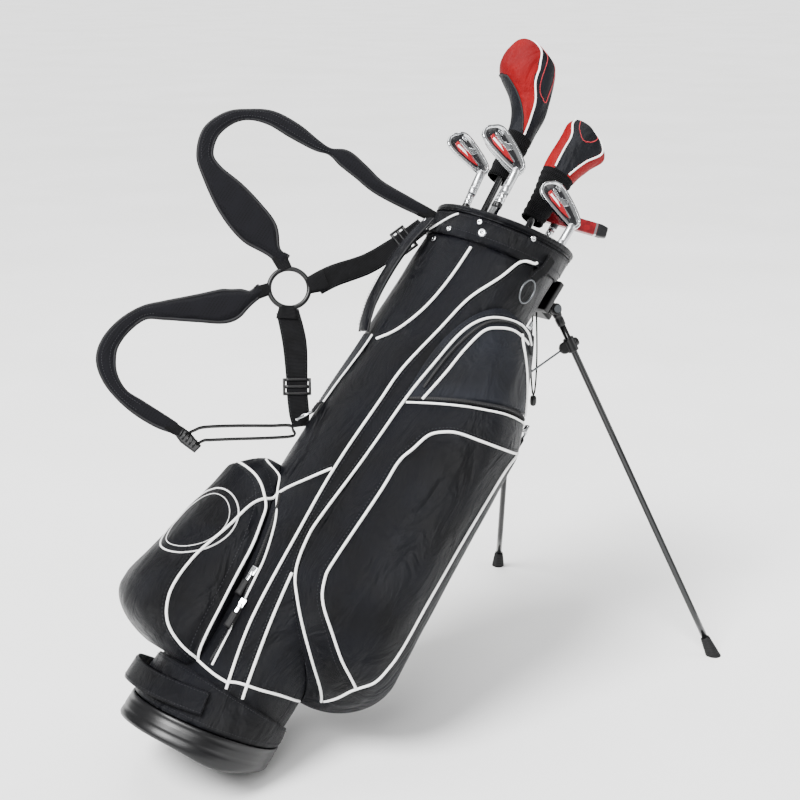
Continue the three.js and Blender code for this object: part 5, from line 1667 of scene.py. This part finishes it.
# %% Headcovers
def cover_ring(station, sides, pucker=0.0):
    height, right, near, half_width, half_depth = station
    ring = []
    for k in range(sides):
        turn = 2 * math.pi * k / sides
        c, s = math.cos(turn), math.sin(turn)
        dent = 1 + 0.03 * noise.noise(Vector((c * 2, s * 2, height / 24)))
        ring.append(across(right + (half_width + pucker) * dent * c,
                           near + (half_depth + pucker) * dent * s, height))
    return ring


def headcover(name, stations, sock_share, finish_at, seams, level_count=84, sides=72):
    levels = smooth(stations, level_count)
    rings, shares = [], []
    for i, station in enumerate(levels):
        share = i / (level_count - 1)
        pucker = 0.0
        if share < sock_share:
            pucker = 0.7 * math.sin(share * 150)
        rings.append(cover_ring(station, sides, pucker))
        shares.append(share)
    closing = [[mix_vector(p, middle_of(rings[-1]), k) + UP * 1.2 * k for p in rings[-1]] for k in (0.4, 0.8)]
    inner = [[mix_vector(p, middle_of(ring), 0.12) for p in ring] for ring in (rings[6], rings[0])]
    all_rings = inner + rings + closing
    count = len(all_rings)
    cover = loft(name + "_hood", all_rings, material_at=lambda row, column: finish_at(
        clamp((row * (count - 1) - 2) / (level_count - 1)), column * 360, sock_share))
    finish(cover, name, [knit, cover_red, cover_grey], [name + "_cover"])
    for index, (turn_at, start_share, end_share, vinyl) in enumerate(seams):
        points, outward = [], []
        for i, station in enumerate(levels):
            if start_share <= shares[i] <= end_share:
                turn = turn_at(shares[i])
                k = turn / 360 * sides
                a, b = rings[i][int(k) % sides], rings[i][(int(k) + 1) % sides]
                point = a + (b - a) * (k - int(k))
                centre = across(station[1], station[2], station[0])
                points.append(point + (point - centre).normalized() * 0.4)
                outward.append((point - centre).normalized())
        piping(f"{name}_cover_piping_{index}", points, outward, name, 1.5, vinyl)
    return levels, rings


def middle_of(ring):
    return sum(ring, Vector()) / len(ring)


def mix_vector(a, b, share):
    return a + (b - a) * share


def hood_place(hood, turn, share):
    """A place on a hood's cloth and the way it faces there."""
    levels, rings = hood
    i = round(share * (len(rings) - 1))
    k = turn / 360 * len(rings[i])
    a, b = rings[i][int(k) % len(rings[i])], rings[i][(int(k) + 1) % len(rings[i])]
    point = a + (b - a) * (k - int(k))
    centre = across(levels[i][1], levels[i][2], levels[i][0])
    return point, (point - centre).normalized()


def cover_stitches(name, hood, stops):
    """A sewn coral outline through stops of (turn, share of the way up)."""
    places = [hood_place(hood, turn, clamp(share)) for turn, share in smooth(stops, 70)]
    stitches(name + "_cover_outline", [p + n * 0.4 for p, n in places], [n for p, n in places], name,
             thread_pink,
             spacing=2.6, length=2.6, width=1.5)


def on_stops(stops, share):
    """The value at a share of the way up, between stops of (share, value)."""
    for (low, a), (high, b) in zip(stops, stops[1:]):
        if share <= high:
            return mix(a, b, clamp((share - low) / (high - low)))
    return stops[-1][1]


def driver_front(share):
    return on_stops([(0.18, 78), (0.3, 80), (0.6, 74), (0.85, 84), (1.0, 104)], share)


def driver_back(share):
    return on_stops([(0.18, 84), (0.2, 96), (0.29, 118), (0.38, 136), (0.46, 150), (0.5, 205), (0.56, 262)],
                    share)


def driver_finish(share, turn, sock_share):
    if share < sock_share:
        return 0
    return 1 if driver_front(share) < turn < driver_back(share) else 2


driver_stations = [(938, -52, -45, 18, 17), (994, -56, -45, 20, 19), (1036, -62, -46, 23, 24),
                   (1066, -73, -46, 33, 31), (1091, -93, -46, 45, 37), (1116, -101, -46, 46, 38),
                   (1140, -105, -46, 39, 32), (1153, -114, -46, 24, 20), (1158, -118, -46, 12, 10)]
driver_hood = headcover("driver", driver_stations, 0.17, driver_finish,
                        [(driver_front, 0.18, 0.99, white_vinyl), (driver_back, 0.19, 0.51, binding),
                         (lambda share: 262, 0.56, 0.99, white_vinyl)])
cover_stitches("driver", driver_hood, [(64, 0.93), (62, 0.7), (64, 0.5), (61, 0.44), (40, 0.43),
                                       (32, 0.5), (26, 0.7), (27, 0.93)])
driver_line = ClubLine((28, -48), (-42, -44))
shaft("driver", driver_line, 1010, 7.4, 5, 6, False, graphite, "driver")


def hybrid_left(share):
    return on_stops([(0.34, 114), (0.6, 128), (0.85, 142), (1.0, 150)], share)


def hybrid_right(share):
    return on_stops([(0.34, 62), (0.5, 52), (0.7, 38), (1.0, 22)], share)


def hybrid_finish(share, turn, sock_share):
    if share < sock_share:
        return 0
    if hybrid_right(share) < turn < hybrid_left(share) or 225 < turn < 285:
        return 2
    return 1


hybrid_stations = [(900, 24, -17, 18, 16), (942, 24, -17, 21, 20), (982, 22, -17, 26, 23),
                   (1017, 26, -17, 32, 25), (1043, 32, -17, 37, 26), (1062, 24, -17, 31, 22),
                   (1074, 16, -17, 17, 14)]
hybrid_hood = headcover("hybrid", hybrid_stations, 0.33, hybrid_finish,
                        [(hybrid_left, 0.34, 0.99, white_vinyl), (hybrid_right, 0.34, 0.99, white_vinyl),
                         (lambda share: 225, 0.34, 0.99, white_vinyl)])
cover_stitches("hybrid", hybrid_hood, [(118, 0.95), (116, 0.8), (108, 0.7), (96, 0.66), (82, 0.69),
                                       (66, 0.76), (52, 0.84)])
hybrid_line = ClubLine((66, -4), (26, -16))
shaft("hybrid", hybrid_line, 962, 7.4, 5, 6, False, graphite, "hybrid")
print("headcovers made")

# %% [markdown]
# ## Parts that keep their frame shape
# The rod, stays, pins and covered heads are plain metal or lacquer under other parts, and their
# frame shape is right, so they only get a finish.

# %% Finishes for the rest
kept_finishes = {
    "tube_spine": glass_fibre, "hinge_pin_far": dark_wire, "hinge_pin_near": dark_wire,
    "actuator_rod": dark_wire,
    "stay_far": dark_wire, "stay_near": dark_wire, "driver_head": graphite, "hybrid_head": graphite,
}
for node_name, material in kept_finishes.items():
    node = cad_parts[node_name]
    node.data.materials.clear()
    node.data.materials.append(material)
print("kept", len(kept_finishes), "frame parts")
# %% [markdown]
# ## Floor and light
# A wide flat floor of pale paper, a soft key light, a weaker fill, a soft light from above and a
# broad sun show the cloth's folds without hard shadows.

# %% Studio
floor_bm = bmesh.new()
for x, y in ((-60, -60), (60, -60), (60, 60), (-60, 60)):
    floor_bm.verts.new((x, y, 0))
floor_bm.faces.new(floor_bm.verts[:])
studio_floor = new_object("studio_floor", floor_bm)
floor_finish, floor_tree, floor_shader = start_material("matt_paper_white", 0.9)
blotches(floor_tree, floor_shader, add_node(floor_tree, "ShaderNodeTexCoord").outputs["Object"],
         "#f4f4f3", "#fafafa", 1.5)
studio_floor.data.materials.append(floor_finish)


def soft_light(name, place, aim, size, watts):
    data = bpy.data.lights.new(name, "AREA")
    data.size = size
    data.energy = watts
    lamp = bpy.data.objects.new(name, data)
    lamp.location = place
    lamp.rotation_euler = (Vector(place) - Vector(aim)).to_track_quat("Z", "Y").to_euler()
    bpy.context.scene.collection.objects.link(lamp)


soft_light("key", (-2.6, -2.2, 2.8), (0, 0, 0.4), 1.4, 90)
soft_light("fill", (2.4, -2.6, 1.6), (0, 0, 0.4), 1.4, 30)
soft_light("top", (0.2, 0.9, 3.2), (0, 0, 0.3), 2.0, 70)
sun_data = bpy.data.lights.new("overhead", "SUN")
sun_data.energy = 7.5
sun_data.angle = math.radians(26)
sun = bpy.data.objects.new("overhead", sun_data)
sun.rotation_euler = Vector((-0.75, -0.1, 1.0)).to_track_quat("Z", "Y").to_euler()
bpy.context.scene.collection.objects.link(sun)
world = bpy.data.worlds.new("studio")
world.use_nodes = True
world.node_tree.nodes["Background"].inputs["Color"].default_value = colour("#ffffff")
world.node_tree.nodes["Background"].inputs["Strength"].default_value = 0.5
bpy.context.scene.world = world
print("studio lit")
